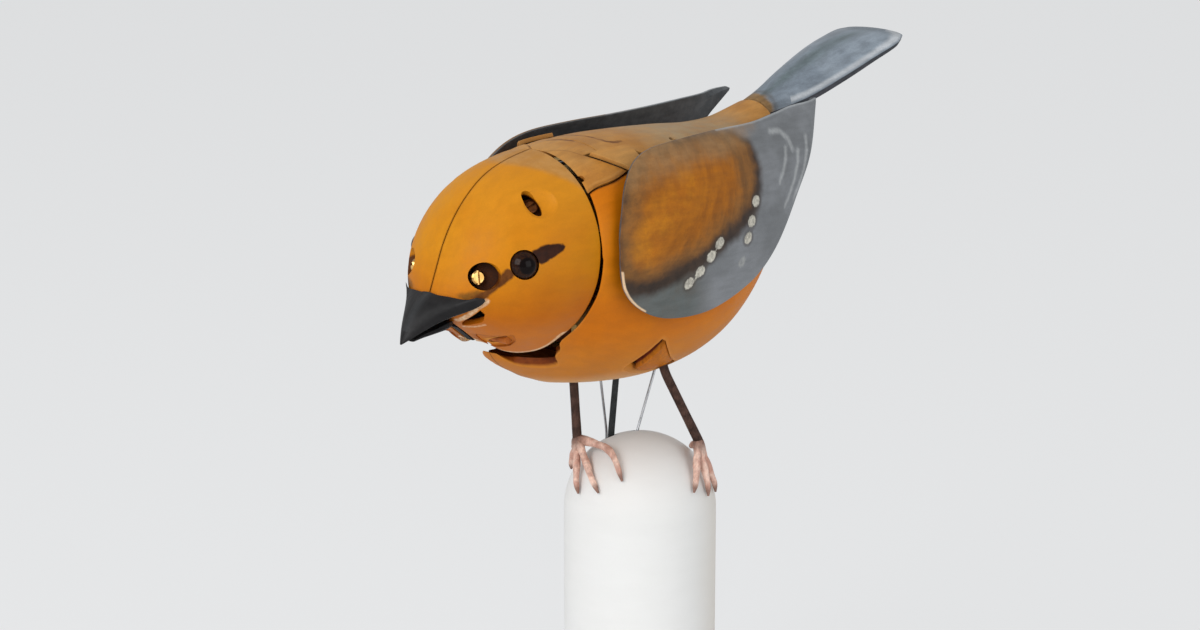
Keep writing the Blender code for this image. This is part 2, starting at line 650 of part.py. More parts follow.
def make_head():
    """Head core, two shell halves with screw pockets, and the eyes."""
    z = PIVOT[2]
    y = PIVOT[1]
    outline = [(-75.0, z - 5.0), (-75.0, z + 7.0), (-68.0, z + 14.0), (-57.0, z + 18.0), (-48.0, z + 18.0),
               (-44.0, z + 10.0), (y + 4.0, z + 1.0), (y + 3.0, z - 3.0), (y, z - 4.2), (y - 3.0, z - 3.0),
               (-58.0, z - 1.0), (-61.0, z - 5.0)]
    core = prism_x("head_core", outline, -10.2, 10.2, "pear_wood", PIVOT)
    for label in HEAD_POCKETS:
        for number, side in enumerate((1, -1)):
            here, out, radius = pocket(label, side)
            boss = [here - out * 14.0, here - out * (SHELL_WALL + 3.0 * GAP)]
            join(core, tube_solid(f"{label}_boss_{number}", boss, radius, "pear_wood", 10))
    cut(core, box("link_slot", (-3.4, -80.0, z - 10.0), (3.4, -40.0, z + 6.5), "steel"),
        rod_x("core_bore", -20.0, 20.0, y, z, 1.45, "steel"))
    for word, side in (("left", 1), ("right", -1)):
        shell = make_head_shell(word, side)
        for label in HEAD_POCKETS:
            here, out, radius = pocket(label, side)
            hole = [here - out * 8.0, here + out * 5.0]
            cut(shell, tube_solid(f"{label}_pocket_{word}", hole, radius - 0.4, "steel", 12))
        centre = (side * EYE_CENTRE[0], EYE_CENTRE[1], EYE_CENTRE[2])
        cut(shell, ball(f"eye_socket_{word}", centre, EYE_RADIUS + GAP, 12, 8, "steel"))
        ball(f"eye_{word}", centre, EYE_RADIUS, 14, 8, "eye_glass", PIVOT)
        x_low, x_high = sorted((side * 1.0, side * 20.0))
        cut(shell, rod_x(f"jaw_bore_{word}", x_low, x_high, *JAW_AXIS, 1.5, "steel"))
        gape = [(side * x, DOME_Z + height) for x, height in GAPE]
        cut(shell, prism_y(f"gape_{word}", gape, -90.0, -73.0, "steel"))
        chin = [(-82.0, DOME_Z + 60.0), (-69.0, DOME_Z + 60.0), (-69.0, DOME_Z + 77.0), (-82.0, DOME_Z + 77.0)]
        x_low, x_high = sorted((-side * 0.6, side * 2.4))
        cut(shell, prism_x(f"chin_slot_{word}", chin, x_low, x_high, "steel"))


def ball(name, centre, radius, across, down, look, pivot=(0.0, 0.0, 0.0)):
    """A sphere of rings, with its poles along X."""
    rings = []
    for turn in steps(4.0, 176.0, down):
        t = math.radians(turn)
        middle = (centre[0] + radius * math.cos(t), centre[1], centre[2])
        rings.append(circle(middle, Vector((0, 1, 0)), Vector((0, 0, 1)), radius * math.sin(t), across))
    return loft_solid(name, rings, look, pivot)


def make_head_shell(word, side):
    """One half of the head shell, from the seam over the crown round to the seam under the chin."""
    angles = [math.radians(angle) * side for angle in
              (0, 12, 24, 36, 48, 60, 74, 88, 102, 115, 127, 137, 145, 152, 158, 164, 171, 180)]
    seam = 0.2
    parts = (0.0, 0.03, 0.08, 0.16, 0.27, 0.4, 0.55, 0.7, 0.85, 1.0)
    grids = []
    for inset in (0.0, SHELL_WALL):
        grid = []
        for part in parts:
            row = []
            for angle in angles:
                start = -85.0 + (1.6 if inset else 0.0)
                tuck = RIM_TUCK if inset and degrees_of(angle) < 130.0 else 0.0
                point = head_point(start + (rim_y(angle) + tuck - start) * part, angle, inset)
                row.append((side * max(seam, abs(point[0])), point[1], point[2]))
            grid.append(row)
        grids.append(grid)
    return shell_solid(f"head_shell_{word}", grids[0], grids[1], "ochre", PIVOT)


# Beak: its tip and, round its base, how far forward the base reaches on the head at each angle from the top
BEAK_TIP = (0.0, -96.4, DOME_Z + 66.6)
BEAK_BASE = ((0.0, -84.9), (35.0, -84.8), (59.0, -84.4), (74.0, -83.4), (86.0, -81.5), (95.0, -79.1),
             (105.0, -80.1), (113.0, -81.6), (131.0, -82.7), (157.0, -83.0), (180.0, -83.2))
BEAK_LIFT = 0.55
# Lower beak from its root under the chin to its tip: y, half width, height of its flat top, height of its keel
JAW = ((-79.2, 2.6, 69.9, 68.9), (-81.5, 5.0, 71.6, 68.7), (-84.0, 6.4, 71.9, 68.5), (-87.0, 4.8, 70.4, 68.1),
       (-90.0, 3.1, 69.2, 67.6), (-92.5, 1.9, 67.9, 67.1))
JAW_RIM = 0.3
BEAK_FORWARD = 0.35
BEAK_TURNS = [turn for turn, _ in BEAK_BASE] + [-turn for turn, _ in BEAK_BASE[-2:0:-1]]


def beak_point(part, degrees, outset):
    """A point of the beak's skin; part runs from the base on the head to the tip."""
    y = through(BEAK_BASE, abs(degrees))[0]
    root = Vector(head_point(y, math.radians(degrees), -BEAK_LIFT))
    root.y -= BEAK_FORWARD
    tip = Vector(BEAK_TIP)
    point = root.lerp(tip, part)
    swell = math.sin(math.pi * part)
    point.z += swell * (1.7 if abs(degrees) < 91.0 else 0.3)
    point.y -= swell * 0.6
    point.x *= 1.0 - 0.16 * swell
    middle = Vector((0.0, -82.0, DOME_Z + 76.5)).lerp(tip, part)
    away = Vector((point.x, 0.0, point.z - middle.z))
    if away.length > 0.01:
        point += away.normalized() * outset
    return tuple(point)


def make_beak():
    """Black upper beak, slim lower beak on its own arm, and the pin that it turns on."""
    rings = []
    for part in (0.2, 0.6):
        ring = []
        for turn in BEAK_TURNS:
            y = through(BEAK_BASE, abs(turn))[0]
            x, y, z = head_point(-85.4 + (y + 85.4) * part, math.radians(turn), -BEAK_LIFT - 0.25)
            ring.append((x, y - BEAK_FORWARD - 0.1, z))
        rings.append(ring)
    parts = (0.0, 0.12, 0.28, 0.45, 0.62, 0.78, 0.9, 0.97)
    rings += [[beak_point(part, turn, 0.0) for turn in BEAK_TURNS] for part in parts]
    loft_solid("upper_beak", rings, "beak_black", PIVOT)
    pivot = (0.0, *JAW_AXIS)
    rings = []
    for y, half, top, low in JAW:
        ring = [(half * share, y, DOME_Z + top) for share in (-1.0, -0.5, 0.5, 1.0)]
        for turn in (20.0, 45.0, 68.0, 90.0, 112.0, 135.0, 160.0):
            t = math.radians(turn)
            depth = (top - JAW_RIM - low) * math.sin(t)
            ring.append((half * math.cos(t), y, DOME_Z + top - JAW_RIM - depth))
        rings.append(ring)
    jaw = loft_solid("lower_beak", rings, "beak_black", pivot)
    y, z = JAW_AXIS
    top = PIVOT[2]
    low = DOME_Z + 69.1
    outline = [(y + 2.8, z - 1.8), (y + 2.8, z + 2.4), (y + 1.5, z + 8.0), (y + 1.5, top + 2.2),
               (y - 1.5, top + 2.2), (y - 2.0, z + 6.0), (y - 4.1, z + 4.2), (y - 8.1, low + 2.2), (-84.0, low + 2.2),
               (-84.0, low), (-78.5, low + 0.1), (-76.0, low - 0.8), (-72.0, low - 3.8), (y - 1.8, z - 1.7)]
    arm = prism_x("jaw_arm", outline, -1.2, 1.2, "beak_black")
    join(jaw, arm)
    slot = [(y + dy, top + dz) for dy, dz in ((-0.8, -1.35), (0.8, -1.35), (0.8, 1.35), (-0.8, 1.35))]
    cut(jaw, rod_x("jaw_arm_bore", -3.0, 3.0, y, z, 1.45, "steel"),
        prism_x("jaw_arm_slot", slot, -3.0, 3.0, "steel"))
    rod_x("jaw_pin", -13.2, 13.2, y, z, 1.2, "steel", 12, PIVOT)


def table(pairs):
    """A function of one value through pairs of numbers."""
    return lambda at: through(pairs, at)[0]


def panel(name, y_low, y_high, angle_low, angle_high, look, rows, columns, lift=0.0, wall=SHELL_WALL):
    """A panel of the body's skin between two edges along it and two edges across it, each a function.

    The edges across take an angle and an inset, the edges along take y.
    """
    grids = []
    for inset in (-lift, wall - lift):
        grid = []
        for row in range(rows + 1):
            line = []
            for column in range(columns + 1):
                share = column / columns
                y = -30.0
                for _ in range(6):
                    low, high = angle_low(y), angle_high(y)
                    angle = math.radians(low + (high - low) * share)
                    start, stop = y_low(angle, inset), y_high(angle, inset)
                    y = start + (stop - start) * row / rows
                low, high = angle_low(y), angle_high(y)
                line.append(body_point(y, math.radians(low + (high - low) * share), inset))
            grid.append(line)
        grids.append(grid)
    return shell_solid(name, grids[0], grids[1], look)


def shell_edge(y):
    """Angle from straight up at which the breast shell ends, along the body."""
    return through(((-47.0, 50.0), (-43.2, 48.7), (-35.3, 46.7), (-29.4, 42.8), (-26.0, 43.0), (-20.0, 56.0),
                    (-14.0, 62.0), (20.0, 62.0), (40.0, 64.0), (50.0, 70.0)), y)[0]


def make_body_shell():
    """Breast and belly shell, with the rod hatch and a long opening in front of each leg."""
    shell = panel("belly_shell", mouth_start, lambda angle, inset: 47.0, shell_edge,
                  lambda y: 360.0 - shell_edge(y), "ochre", 17, 34)
    hatch = prism_z("rod_hatch", oval((-5.6, 1.9), 5.6, 17.4, 16), DOME_Z + 36.0, DOME_Z + 54.0, "steel")
    cut(shell, hatch)
    for word, side in (("left", 1), ("right", -1)):
        hip = HIPS[word]
        opening = [(hip[0] + side * dx, hip[1] + dy) for dx, dy in
                   ((-2.0, 2.4), (2.6, 2.4), (6.5, -4.0), (11.6, -12.0), (10.6, -15.0), (5.0, -20.6),
                    (2.6, -19.8), (-2.2, -3.0))]
        cut(shell, prism_z(f"leg_opening_{word}", opening, DOME_Z + 36.0, DOME_Z + 66.0, "steel"))


# Rear edge of the nape plates, from their inner corner outwards, as angle and y
NAPE_EDGE = table(((8.0, -42.0), (14.5, -39.6), (25.0, -37.2), (34.0, -33.4), (41.0, -29.4), (50.0, -25.0)))
NAPE_START = 14.5
# Outer edge of the nape plates, as y and angle
NAPE_SIDE = table(((-47.0, 48.4), (-43.2, 47.0), (-35.3, 45.0), (-29.4, 41.0), (-24.0, 36.0)))
RUMP_SIDE = table(((-32.0, 22.0), (-26.0, 22.5), (-21.5, 24.0), (-17.5, 29.5), (-14.0, 31.0), (10.0, 31.0),
                   (30.0, 48.0), (50.0, 62.0)))
COVER_FRONT = -31.2
SHOULDER_START = 25.5
SHOULDER_BACK = -21.8


def mantle_start(angle, inset):
    """Where the mantle plate starts: behind the head's rim in the middle, behind the nape plates beside it."""
    edge = NAPE_EDGE(max(NAPE_START, degrees_of(angle))) + 0.9
    if degrees_of(angle) < NAPE_START - 2.0:
        edge = -39.4
    return edge


def make_back():
    """Nape plates, mantle plate, shoulder plates and rump cover."""
    for word, side in (("left", 1), ("right", -1)):
        panel(f"nape_plate_{word}", mouth_start, lambda angle, inset: NAPE_EDGE(degrees_of(angle)),
              lambda y, s=side: s * NAPE_START, lambda y, s=side: s * NAPE_SIDE(y), "tan", 4, 8, 0.6, 1.5)
        panel(f"shoulder_plate_{word}", lambda angle, inset: NAPE_EDGE(degrees_of(angle)) + 1.0,
              lambda angle, inset: SHOULDER_BACK,
              lambda y, s=side: s * SHOULDER_START, lambda y, s=side: s * 41.5, "tan", 3, 5, 1.9, 1.3)
    panel("mantle_plate", mantle_start, lambda angle, inset: COVER_FRONT - 0.9,
          lambda y: -22.5, lambda y: 22.5, "tan", 3, 8, 0.2, 2.0)
    panel("rump_cover", lambda angle, inset: COVER_FRONT, lambda angle, inset: 49.5,
          lambda y: -RUMP_SIDE(y), RUMP_SIDE, "tan", 12, 10)


def wing_point(row, share, inset):
    """A point of the left wing's skin: row runs from shoulder to tip, share from low edge to high edge."""
    count = len(WING_LOW) - 1
    low = through([(index, *point) for index, point in enumerate(WING_LOW)], row * count)
    high = through([(index, *point) for index, point in enumerate(WING_HIGH)], row * count)
    y = low[0] + (high[0] - low[0]) * share
    z = low[1] + (high[1] - low[1]) * share
    half, widest, round_z = through(WING_FORM, y)
    bulge = math.sqrt(max(0.05, 1.0 - ((z - widest) / round_z) ** 2))
    return (half * bulge - inset, y, DOME_Z + z - inset * 0.35 * max(0.0, (z - widest) / round_z))


def make_wings():
    """Curved wing shells, each on a shaft under the mantle with a crank arm for the yoke."""
    for word, side in (("left", 1), ("right", -1)):
        pivot = (side * WING_AXIS[0], 0.0, WING_AXIS[1])
        grids = []
        for skin in (0, 1):
            grid = []
            for row in steps(0.0, 1.0, 16):
                line = []
                for share in steps(0.0, 1.0, 8):
                    edge = min(share, 1.0 - share, row * 1.2) * 6.0
                    wall = 0.9 + (WING_WALL - 0.9) * min(1.0, edge)
                    x, y, z = wing_point(row, share, wall * skin)
                    line.append((side * x, y, z))
                grid.append(line)
            grids.append(grid)
        shell_solid(f"wing_{word}", grids[0], grids[1], "wing_grey", pivot)
        make_wing_arm(word, side, pivot)


def make_wing_arm(word, side, pivot):
    """Shaft, crank arm with its fork, and the two straps that reach out to the wing."""
    x, z = WING_AXIS
    shaft = tube_solid(f"wing_arm_{word}", [(side * x, -21.0, z), (side * x, 16.0, z)], 1.1, "steel", 10, pivot)
    slant = math.radians(12.5)
    tip = (x - WING_CRANK - 2.4, z + (WING_CRANK + 2.4) * math.tan(slant))
    arm = [(x, z - 1.6), (x, z + 1.6), (tip[0], tip[1] + 1.7), (tip[0], tip[1] - 1.7)]
    arm = [(side * a, b) for a, b in arm]
    join(shaft, prism_y(f"crank_{word}", arm, -1.0, 1.0, "steel"))
    fork = [(x - WING_CRANK + 2.2, z + (WING_CRANK - 2.2) * math.tan(slant)),
            (tip[0] - 2.0, tip[1] + 2.0 * math.tan(slant))]
    fork = [(side * fork[0][0], fork[0][1] - 1.2), (side * fork[0][0], fork[0][1] + 1.2),
            (side * fork[1][0], fork[1][1] + 1.2), (side * fork[1][0], fork[1][1] - 1.2)]
    cut(shaft, prism_y(f"fork_{word}", fork, -2.0, 2.0, "steel"))
    for number, y in enumerate((-14.0, 4.0)):
        strap = [(x, z - 1.2), (x, z + 1.2), (21.0, z + 3.4), (25.4, z + 2.2), (26.6, z - 0.4), (20.6, z + 0.6)]
        strap = [(side * a, b) for a, b in strap]
        join(shaft, prism_y(f"strap_{word}_{number}", strap, y, y + 4.0, "steel"))


# Tail sections: y, half width, underside, height of the crest above it, thickness of its edge
TAIL = (
    (50.3, 5.8, 111.9, 5.8, 2.2),
    (58.0, 6.8, 113.3, 7.4, 2.2),
    (68.0, 8.5, 115.6, 9.9, 2.2),
    (83.0, 10.3, 120.6, 10.8, 2.2),
    (96.0, 12.2, 125.8, 8.2, 2.0),
    (105.0, 13.4, 129.4, 5.0, 1.8),
    (109.3, 12.0, 131.0, 3.2, 1.6),
)


def make_tail():
    """Tail arm on its pin inside the rump, and the carved tail that it carries."""
    y, z = TAIL_AXIS
    pivot = (0.0, y, z)
    outline = [(y - 3.0, z - 2.6), (y - 3.0, z + 2.6), (y + TAIL_HORN + 2.0, z + 3.4), (50.0, z + 7.0),
               (59.5, z + 8.8), (59.5, z + 6.8), (50.0, z + 3.4), (y + TAIL_HORN + 2.0, z - 1.6), (y + 3.0, z - 2.6)]
    arm = prism_x("tail_arm", outline, -2.0, 2.0, "brass", pivot)
    slot = [(TAIL_TOP[1] + dy, TAIL_TOP[2] + dz) for dy, dz in ((-1.2, -0.8), (1.2, -0.8), (1.2, 0.8), (-1.2, 0.8))]
    cut(arm, rod_x("tail_arm_bore", -4.0, 4.0, y, z, 1.75, "steel"),
        prism_x("tail_arm_slot", slot, -4.0, 4.0, "steel"))
    rings = []
    for along, half, under, height, edge in TAIL:
        top = []
        low = []
        for share in (-1.0, -0.85, -0.6, -0.3, 0.0, 0.3, 0.6, 0.85, 1.0):
            crown = math.sqrt(max(0.0, 1.0 - share * share))
            top.append((half * share, along, DOME_Z + under + edge + (height - edge) * crown))
            low.append((half * share * 0.94, along, DOME_Z + under + 0.5 * (height - edge) * crown**2))
        rings.append(top + low[::-1])
    loft_solid("tail_plate", rings, "tail_blue", pivot)


# Legs: where each leg leaves the belly, where its ankle is, and its three front toes on the dome
HIPS = {"left": (14.0, -5.7), "right": (-14.0, -14.6)}
ANKLES = {"left": (17.2, 6.6, 22.6), "right": (-12.4, -14.2, 21.8)}
TOES = {
    "left": ((22.4, -0.6, 9.0), (22.6, 6.0, 6.6), (20.0, 12.4, 6.0), (10.0, 12.0, 18.5)),
    "right": ((-5.0, -22.6, 8.0), (3.0, -21.8, 9.6), (6.8, -17.2, 14.8), (-19.5, -10.5, 10.5)),
}


def make_legs():
    """Dark legs fixed to the frame, and feet that grip the dome."""
    for word, side in (("left", 1), ("right", -1)):
        hip = HIPS[word]
        x, y, z = ANKLES[word]
        top = (side * 11.9, hip[1], DOME_Z + 66.0)
        path = [(x, y, DOME_Z + z + 1.8), (hip[0], hip[1], DOME_Z + 46.0), (side * 11.9, hip[1], DOME_Z + 56.0),
                top]
        tube_solid(f"leg_{word}", path, [1.35, 1.35, 1.35, 1.35], "leg_brown", 10)
        foot = None
        for number, toe in enumerate(TOES[word]):
            start = Vector((x, y, z - 0.4))
            end = Vector(toe)
            path = []
            for part in (0.0, 0.2, 0.45, 0.7, 0.88, 1.0):
                point = start.lerp(end, part)
                clear = POST_RADIUS + 0.8 + 1.15 * (1 - part)
                if part > 0.3 or point.length < clear:
                    point = point.normalized() * max(clear, min(point.length, clear + 2.5 * (1 - part)))
                path.append((point.x, point.y, point.z + DOME_Z))
            radii = [1.5, 1.25, 1.1, 1.0, 0.75, 0.35]
            made = tube_solid(f"foot_{word}" if foot is None else f"toe_{word}_{number}", path, radii, "toe_pink", 8)
            if foot is None:
                foot = made
            else:
                join(foot, made)


def main():
    clear_scene()
    make_base()
    make_lever("song_lever", -1, SONG_ARM)
    make_lever("wing_lever", 0, WING_ARM)
    make_lever("tail_lever", 1, TAIL_ARM)
    for name, side in (("song_spring", -1), ("wing_spring", 0), ("tail_spring", 1)):
        make_spring(name, side)
    make_bellows()
    make_post()
    make_rods()
    make_frame()
    make_song_crank()
    make_neck()
    make_head()
    make_beak()
    make_body_shell()
    make_back()
    make_wings()
    make_tail()
    make_legs()


main()
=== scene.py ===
"""Singing bird automaton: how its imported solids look.

Sizes are in millimetres in the classes below and become metres where a mesh is made. The bird faces -Y and
its left side is +X. Heights of the bird's own forms are above the middle of the post's dome.
"""

import json
import logging
import math
from dataclasses import dataclass
from enum import Enum
from typing import Callable, Iterable, Sequence

import bmesh
import bpy
import numpy as np
from mathutils import Matrix, Vector


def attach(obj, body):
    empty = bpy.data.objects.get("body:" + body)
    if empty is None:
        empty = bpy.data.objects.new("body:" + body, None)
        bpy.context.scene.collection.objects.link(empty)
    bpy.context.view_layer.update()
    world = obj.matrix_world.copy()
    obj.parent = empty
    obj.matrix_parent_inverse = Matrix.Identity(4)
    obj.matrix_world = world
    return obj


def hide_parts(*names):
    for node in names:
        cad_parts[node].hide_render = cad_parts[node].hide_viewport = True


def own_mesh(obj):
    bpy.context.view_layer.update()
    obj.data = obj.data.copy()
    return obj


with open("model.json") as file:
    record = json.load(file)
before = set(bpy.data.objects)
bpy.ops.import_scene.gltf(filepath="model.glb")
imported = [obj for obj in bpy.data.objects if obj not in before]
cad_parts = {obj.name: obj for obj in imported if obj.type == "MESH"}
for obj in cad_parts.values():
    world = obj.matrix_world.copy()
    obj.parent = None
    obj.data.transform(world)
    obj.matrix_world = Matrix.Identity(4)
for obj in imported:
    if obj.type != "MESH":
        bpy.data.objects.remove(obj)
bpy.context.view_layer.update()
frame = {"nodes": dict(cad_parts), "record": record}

Point = tuple[float, float, float]
Pair = tuple[float, float]
Colour = tuple[float, float, float]
Field = Callable[[np.ndarray], np.ndarray]
Piece = bpy.types.Object
Socket = bpy.types.NodeSocket

LOG = logging.getLogger("bird")
MM = 0.001

# Middle of the post's dome above the floor, as a height and as a shift.
DOME = 118.0
DOME_UP = np.array([0.0, 0.0, DOME])

# Heights above the dome's middle that the outward directions of body and head start from.
BODY_HEART = 80.0
HEAD_HEART = 85.0

# A paint field's value well away from its coat.
AWAY = 9.0


class Body(str, Enum):
    """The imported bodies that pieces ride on."""

    STAND = "stand"
    HEAD = "head"
    TAIL = "tail"
    LEFT_WING = "left_wing"
    RIGHT_WING = "right_wing"
    SONG_KEY = "song_key"
    TAIL_KEY = "tail_key"
    WING_KEY = "wing_key"
    SONG_WIRE = "song_wire"
    TAIL_WIRE = "tail_wire"
    WING_WIRE = "wing_wire"


class Slot(str, Enum):
    """The record's material slots."""

    OCHRE = "ochre"
    TAN = "tan"
    WING_GREY = "wing_grey"
    TAIL_BLUE = "tail_blue"
    BEAK_BLACK = "beak_black"
    EYE_GLASS = "eye_glass"
    LEG_BROWN = "leg_brown"
    TOE_PINK = "toe_pink"
    POST_WHITE = "post_white"
    BRASS = "brass"
    STEEL = "steel"
    BLACK_RUBBER = "black_rubber"
    PEAR_WOOD = "pear_wood"
    KID_LEATHER = "kid_leather"


def rgb(red: int, green: int, blue: int) -> Colour:
    """Linear colour of a mixed paint given in the usual 0 to 255 steps."""

    def linear(step: int) -> float:
        """Light given back for one step."""
        share = step / 255.0
        return share / 12.92 if share <= 0.04045 else ((share + 0.055) / 1.055) ** 2.4

    return (linear(red), linear(green), linear(blue))


class Run:
    """Smooth values along a row of stations whose first entry is the position."""

    def __init__(self, stations: Sequence[Sequence[float]]) -> None:
        """Takes the stations and works out their slopes."""
        rows = np.array(stations, float)
        self.at = rows[:, 0]
        self.rows = rows[:, 1:]
        after = np.minimum(np.arange(len(rows)) + 1, len(rows) - 1)
        before = np.maximum(np.arange(len(rows)) - 1, 0)
        self.slopes = (self.rows[after] - self.rows[before]) / (self.at[after] - self.at[before])[:, None]

    def __call__(self, where: np.ndarray | float) -> np.ndarray:
        """Values at where.

        Args:
            where: One position or an array of them.

        Returns:
            An array with one more axis, for the columns.
        """
        where = np.asarray(where, float)
        low = np.clip(np.searchsorted(self.at, where, side="right") - 1, 0, len(self.at) - 2)
        span = (self.at[low + 1] - self.at[low])[..., None]
        part = (where[..., None] - self.at[low][..., None]) / span
        return (
            (2 * part**3 - 3 * part**2 + 1) * self.rows[low]
            + (part**3 - 2 * part**2 + part) * self.slopes[low] * span
            + (3 * part**2 - 2 * part**3) * self.rows[low + 1]
            + (part**3 - part**2) * self.slopes[low + 1] * span
        )

    def one(self, where: np.ndarray | float) -> np.ndarray:
        """The first column's values at where."""
        return self(where)[..., 0]


class Form:
    """A carved body made of rounded sections along Y."""

    def __init__(self, stations: Sequence[Sequence[float]], top_power: float) -> None:
        """Stations are y, top, bottom, half width, share of the widest line and roundness below it."""
        self.run = Run(stations)
        self.top_power = top_power

    def parts(self, y: np.ndarray) -> tuple[np.ndarray, ...]:
        """Middle height, reach up, reach down, half width and lower roundness at y."""
        top, bottom, half, widest, low_power = np.moveaxis(self.run(y), -1, 0)
        middle = bottom + widest * (top - bottom)
        return middle, top - middle, middle - bottom, half, low_power

    def points(self, y: np.ndarray, angle: np.ndarray, inset: np.ndarray | float = 0.0) -> np.ndarray:
        """Points of the skin.

        Args:
            y: Places along the form.
            angle: Angles from straight up towards +X, in radians.
            inset: Depth below the skin.

        Returns:
            Points in the shared frame, in millimetres.
        """
        middle, above, below, half, low_power = self.parts(y)
        sine, cosine = np.sin(angle), np.cos(angle)
        curve = 2.0 / np.where(cosine > 0, self.top_power, low_power)
        reach = np.where(cosine > 0, above, below) - inset
        x = (half - inset) * np.sign(sine) * np.abs(sine) ** curve
        z = middle + reach * np.sign(cosine) * np.abs(cosine) ** curve
        return np.stack(np.broadcast_arrays(x, y, DOME + z), -1)

    def depth(self, at: np.ndarray) -> np.ndarray:
        """How far points lie below the skin, about, in millimetres."""
        middle, above, below, half, low_power = self.parts(at[:, 1])
        up = at[:, 2] > middle
        reach = np.where(up, above, below)
        power = np.where(up, self.top_power, low_power)
        share = np.abs(at[:, 0] / half) ** power + np.abs((at[:, 2] - middle) / reach) ** power
        return (1.0 - share ** (1.0 / power)) * np.minimum(half, reach)

    def under(self, x: np.ndarray, y: np.ndarray, inset: float) -> np.ndarray:
        """Height of the underside at places seen from below, raised by an inset."""
        middle, _, below, half, low_power = self.parts(y)
        share = np.clip(1.0 - np.abs(x / half) ** low_power, 0.0, 1.0) ** (1.0 / low_power)
        return DOME + middle - below * share + inset

    def normal(self, y: float, angle: float) -> Vector:
        """Outward direction of the skin at one place."""
        near = np.array([y, y + 0.2, y])
        turned = np.array([angle, angle, angle + 0.01])
        here, along, around = (Vector(p) for p in self.points(near, turned))
        out = (around - here).cross(along - here).normalized()
        middle = Vector((0.0, y, DOME + float(self.parts(np.array([y]))[0][0])))
        return out if out.dot(here - middle) > 0 else -out


BODY_FORM = Form(
    (
        (-67.0, 73.0, 69.0, 2.0, 0.60, 2.0),
        (-62.0, 86.0, 57.5, 15.5, 0.60, 1.9),
        (-52.0, 103.0, 50.5, 24.0, 0.62, 1.7),
        (-46.0, 110.8, 48.0, 27.1, 0.62, 1.7),
        (-40.0, 113.8, 46.0, 28.6, 0.60, 1.85),
        (-25.0, 115.4, 43.8, 30.8, 0.55, 2.1),
        (-8.0, 115.3, 43.0, 31.5, 0.52, 2.1),
        (10.0, 114.5, 45.5, 30.0, 0.52, 2.1),
        (25.0, 113.5, 52.0, 26.0, 0.52, 2.1),
        (38.0, 114.3, 64.0, 20.5, 0.50, 2.1),
        (49.0, 117.4, 82.0, 13.0, 0.50, 2.1),
        (58.0, 120.0, 94.0, 9.0, 0.50, 2.1),
    ),
    2.1,
)
HEAD_FORM = Form(
    (
        (-85.5, 78.5, 75.9, 2.2, 0.52, 2.0),
        (-83.0, 84.8, 73.2, 9.1, 0.37, 2.2),
        (-80.0, 92.0, 71.0, 14.0, 0.42, 2.4),
        (-76.0, 98.5, 68.2, 18.2, 0.445, 2.4),
        (-71.0, 104.0, 64.4, 21.7, 0.48, 2.3),
        (-65.0, 108.5, 59.6, 24.3, 0.51, 2.1),
        (-58.0, 111.5, 57.1, 26.0, 0.53, 2.0),
        (-50.0, 113.4, 56.8, 26.6, 0.55, 2.0),
        (-42.0, 114.6, 57.5, 26.6, 0.55, 2.0),
    ),
    2.0,
)
PIVOT_Y = -52.0
HEAD_REACH = 5.9
RIM_Y = PIVOT_Y + HEAD_REACH
SHELL_WALL = 2.5

# Where the legs leave the body, left and right, and the levers' pin as y and height, with their spacing.
HIPS: tuple[Pair, Pair] = ((14.0, -5.7), (-14.0, -14.6))
LEVER_PIN: Pair = (-25.0, 24.0)
LEVER_SPACING = 12.0

# The bird's left and right, with their sign along X.
SIDES: tuple[tuple[str, int], ...] = (("left", 1), ("right", -1))


def steps(start: float, stop: float, count: int) -> np.ndarray:
    """count + 1 even values from start to stop."""
    return np.linspace(start, stop, count + 1)


def round_turns(count: int) -> np.ndarray:
    """count even turns round a circle, in radians."""
    return steps(0.0, 2 * math.pi, count)[:-1]


def indexed(points: Sequence[Sequence[float]]) -> Run:
    """A run through points whose positions are their places in the row."""
    return Run([(index, *point) for index, point in enumerate(points)])


def plain(value: float) -> Field:
    """A paint field of one value."""
    return lambda at: np.full(len(at), value)


def constant(value: float) -> Callable[..., np.ndarray]:
    """An edge or a side that stays at one place."""
    return lambda where, *_: np.full(np.shape(where), value)


def oval(centre: Pair, halves: Pair, count: int) -> np.ndarray:
    """Flat points of an oval."""
    turns = round_turns(count)
    return np.stack([centre[0] + halves[0] * np.cos(turns), centre[1] + halves[1] * np.sin(turns)], -1)


def segment_distance(at: np.ndarray, start: np.ndarray, stop: np.ndarray) -> np.ndarray:
    """Distance of points from a straight piece of line, in any number of dimensions."""
    along = stop - start
    share = np.clip(((at - start) @ along) / max(float(along @ along), 1e-12), 0.0, 1.0)
    return np.linalg.norm(at - start - share[:, None] * along, axis=1)


def line_distance(at: np.ndarray, line: Sequence[Sequence[float]]) -> np.ndarray:
    """Distance of points from an open line."""
    corners = np.array(line, float)
    return np.min([segment_distance(at, a, b) for a, b in zip(corners[:-1], corners[1:])], axis=0)


def outline_distance(at: np.ndarray, outline: Sequence[Pair]) -> np.ndarray:
    """Distance of flat points from a closed outline, negative inside it."""
    ring = np.array(outline, float)
    nearest = np.full(len(at), 1e9)
    inside = np.zeros(len(at), bool)
    for start, stop in zip(ring, np.roll(ring, -1, 0)):
        nearest = np.minimum(nearest, segment_distance(at, start, stop))
        crosses = (start[1] > at[:, 1]) != (stop[1] > at[:, 1])
        rise = stop[1] - start[1]
        where = start[0] + (stop[0] - start[0]) * (at[:, 1] - start[1]) / (rise if abs(rise) > 1e-9 else 1e-9)
        inside ^= crosses & (at[:, 0] < where)
    return np.where(inside, -nearest, nearest)


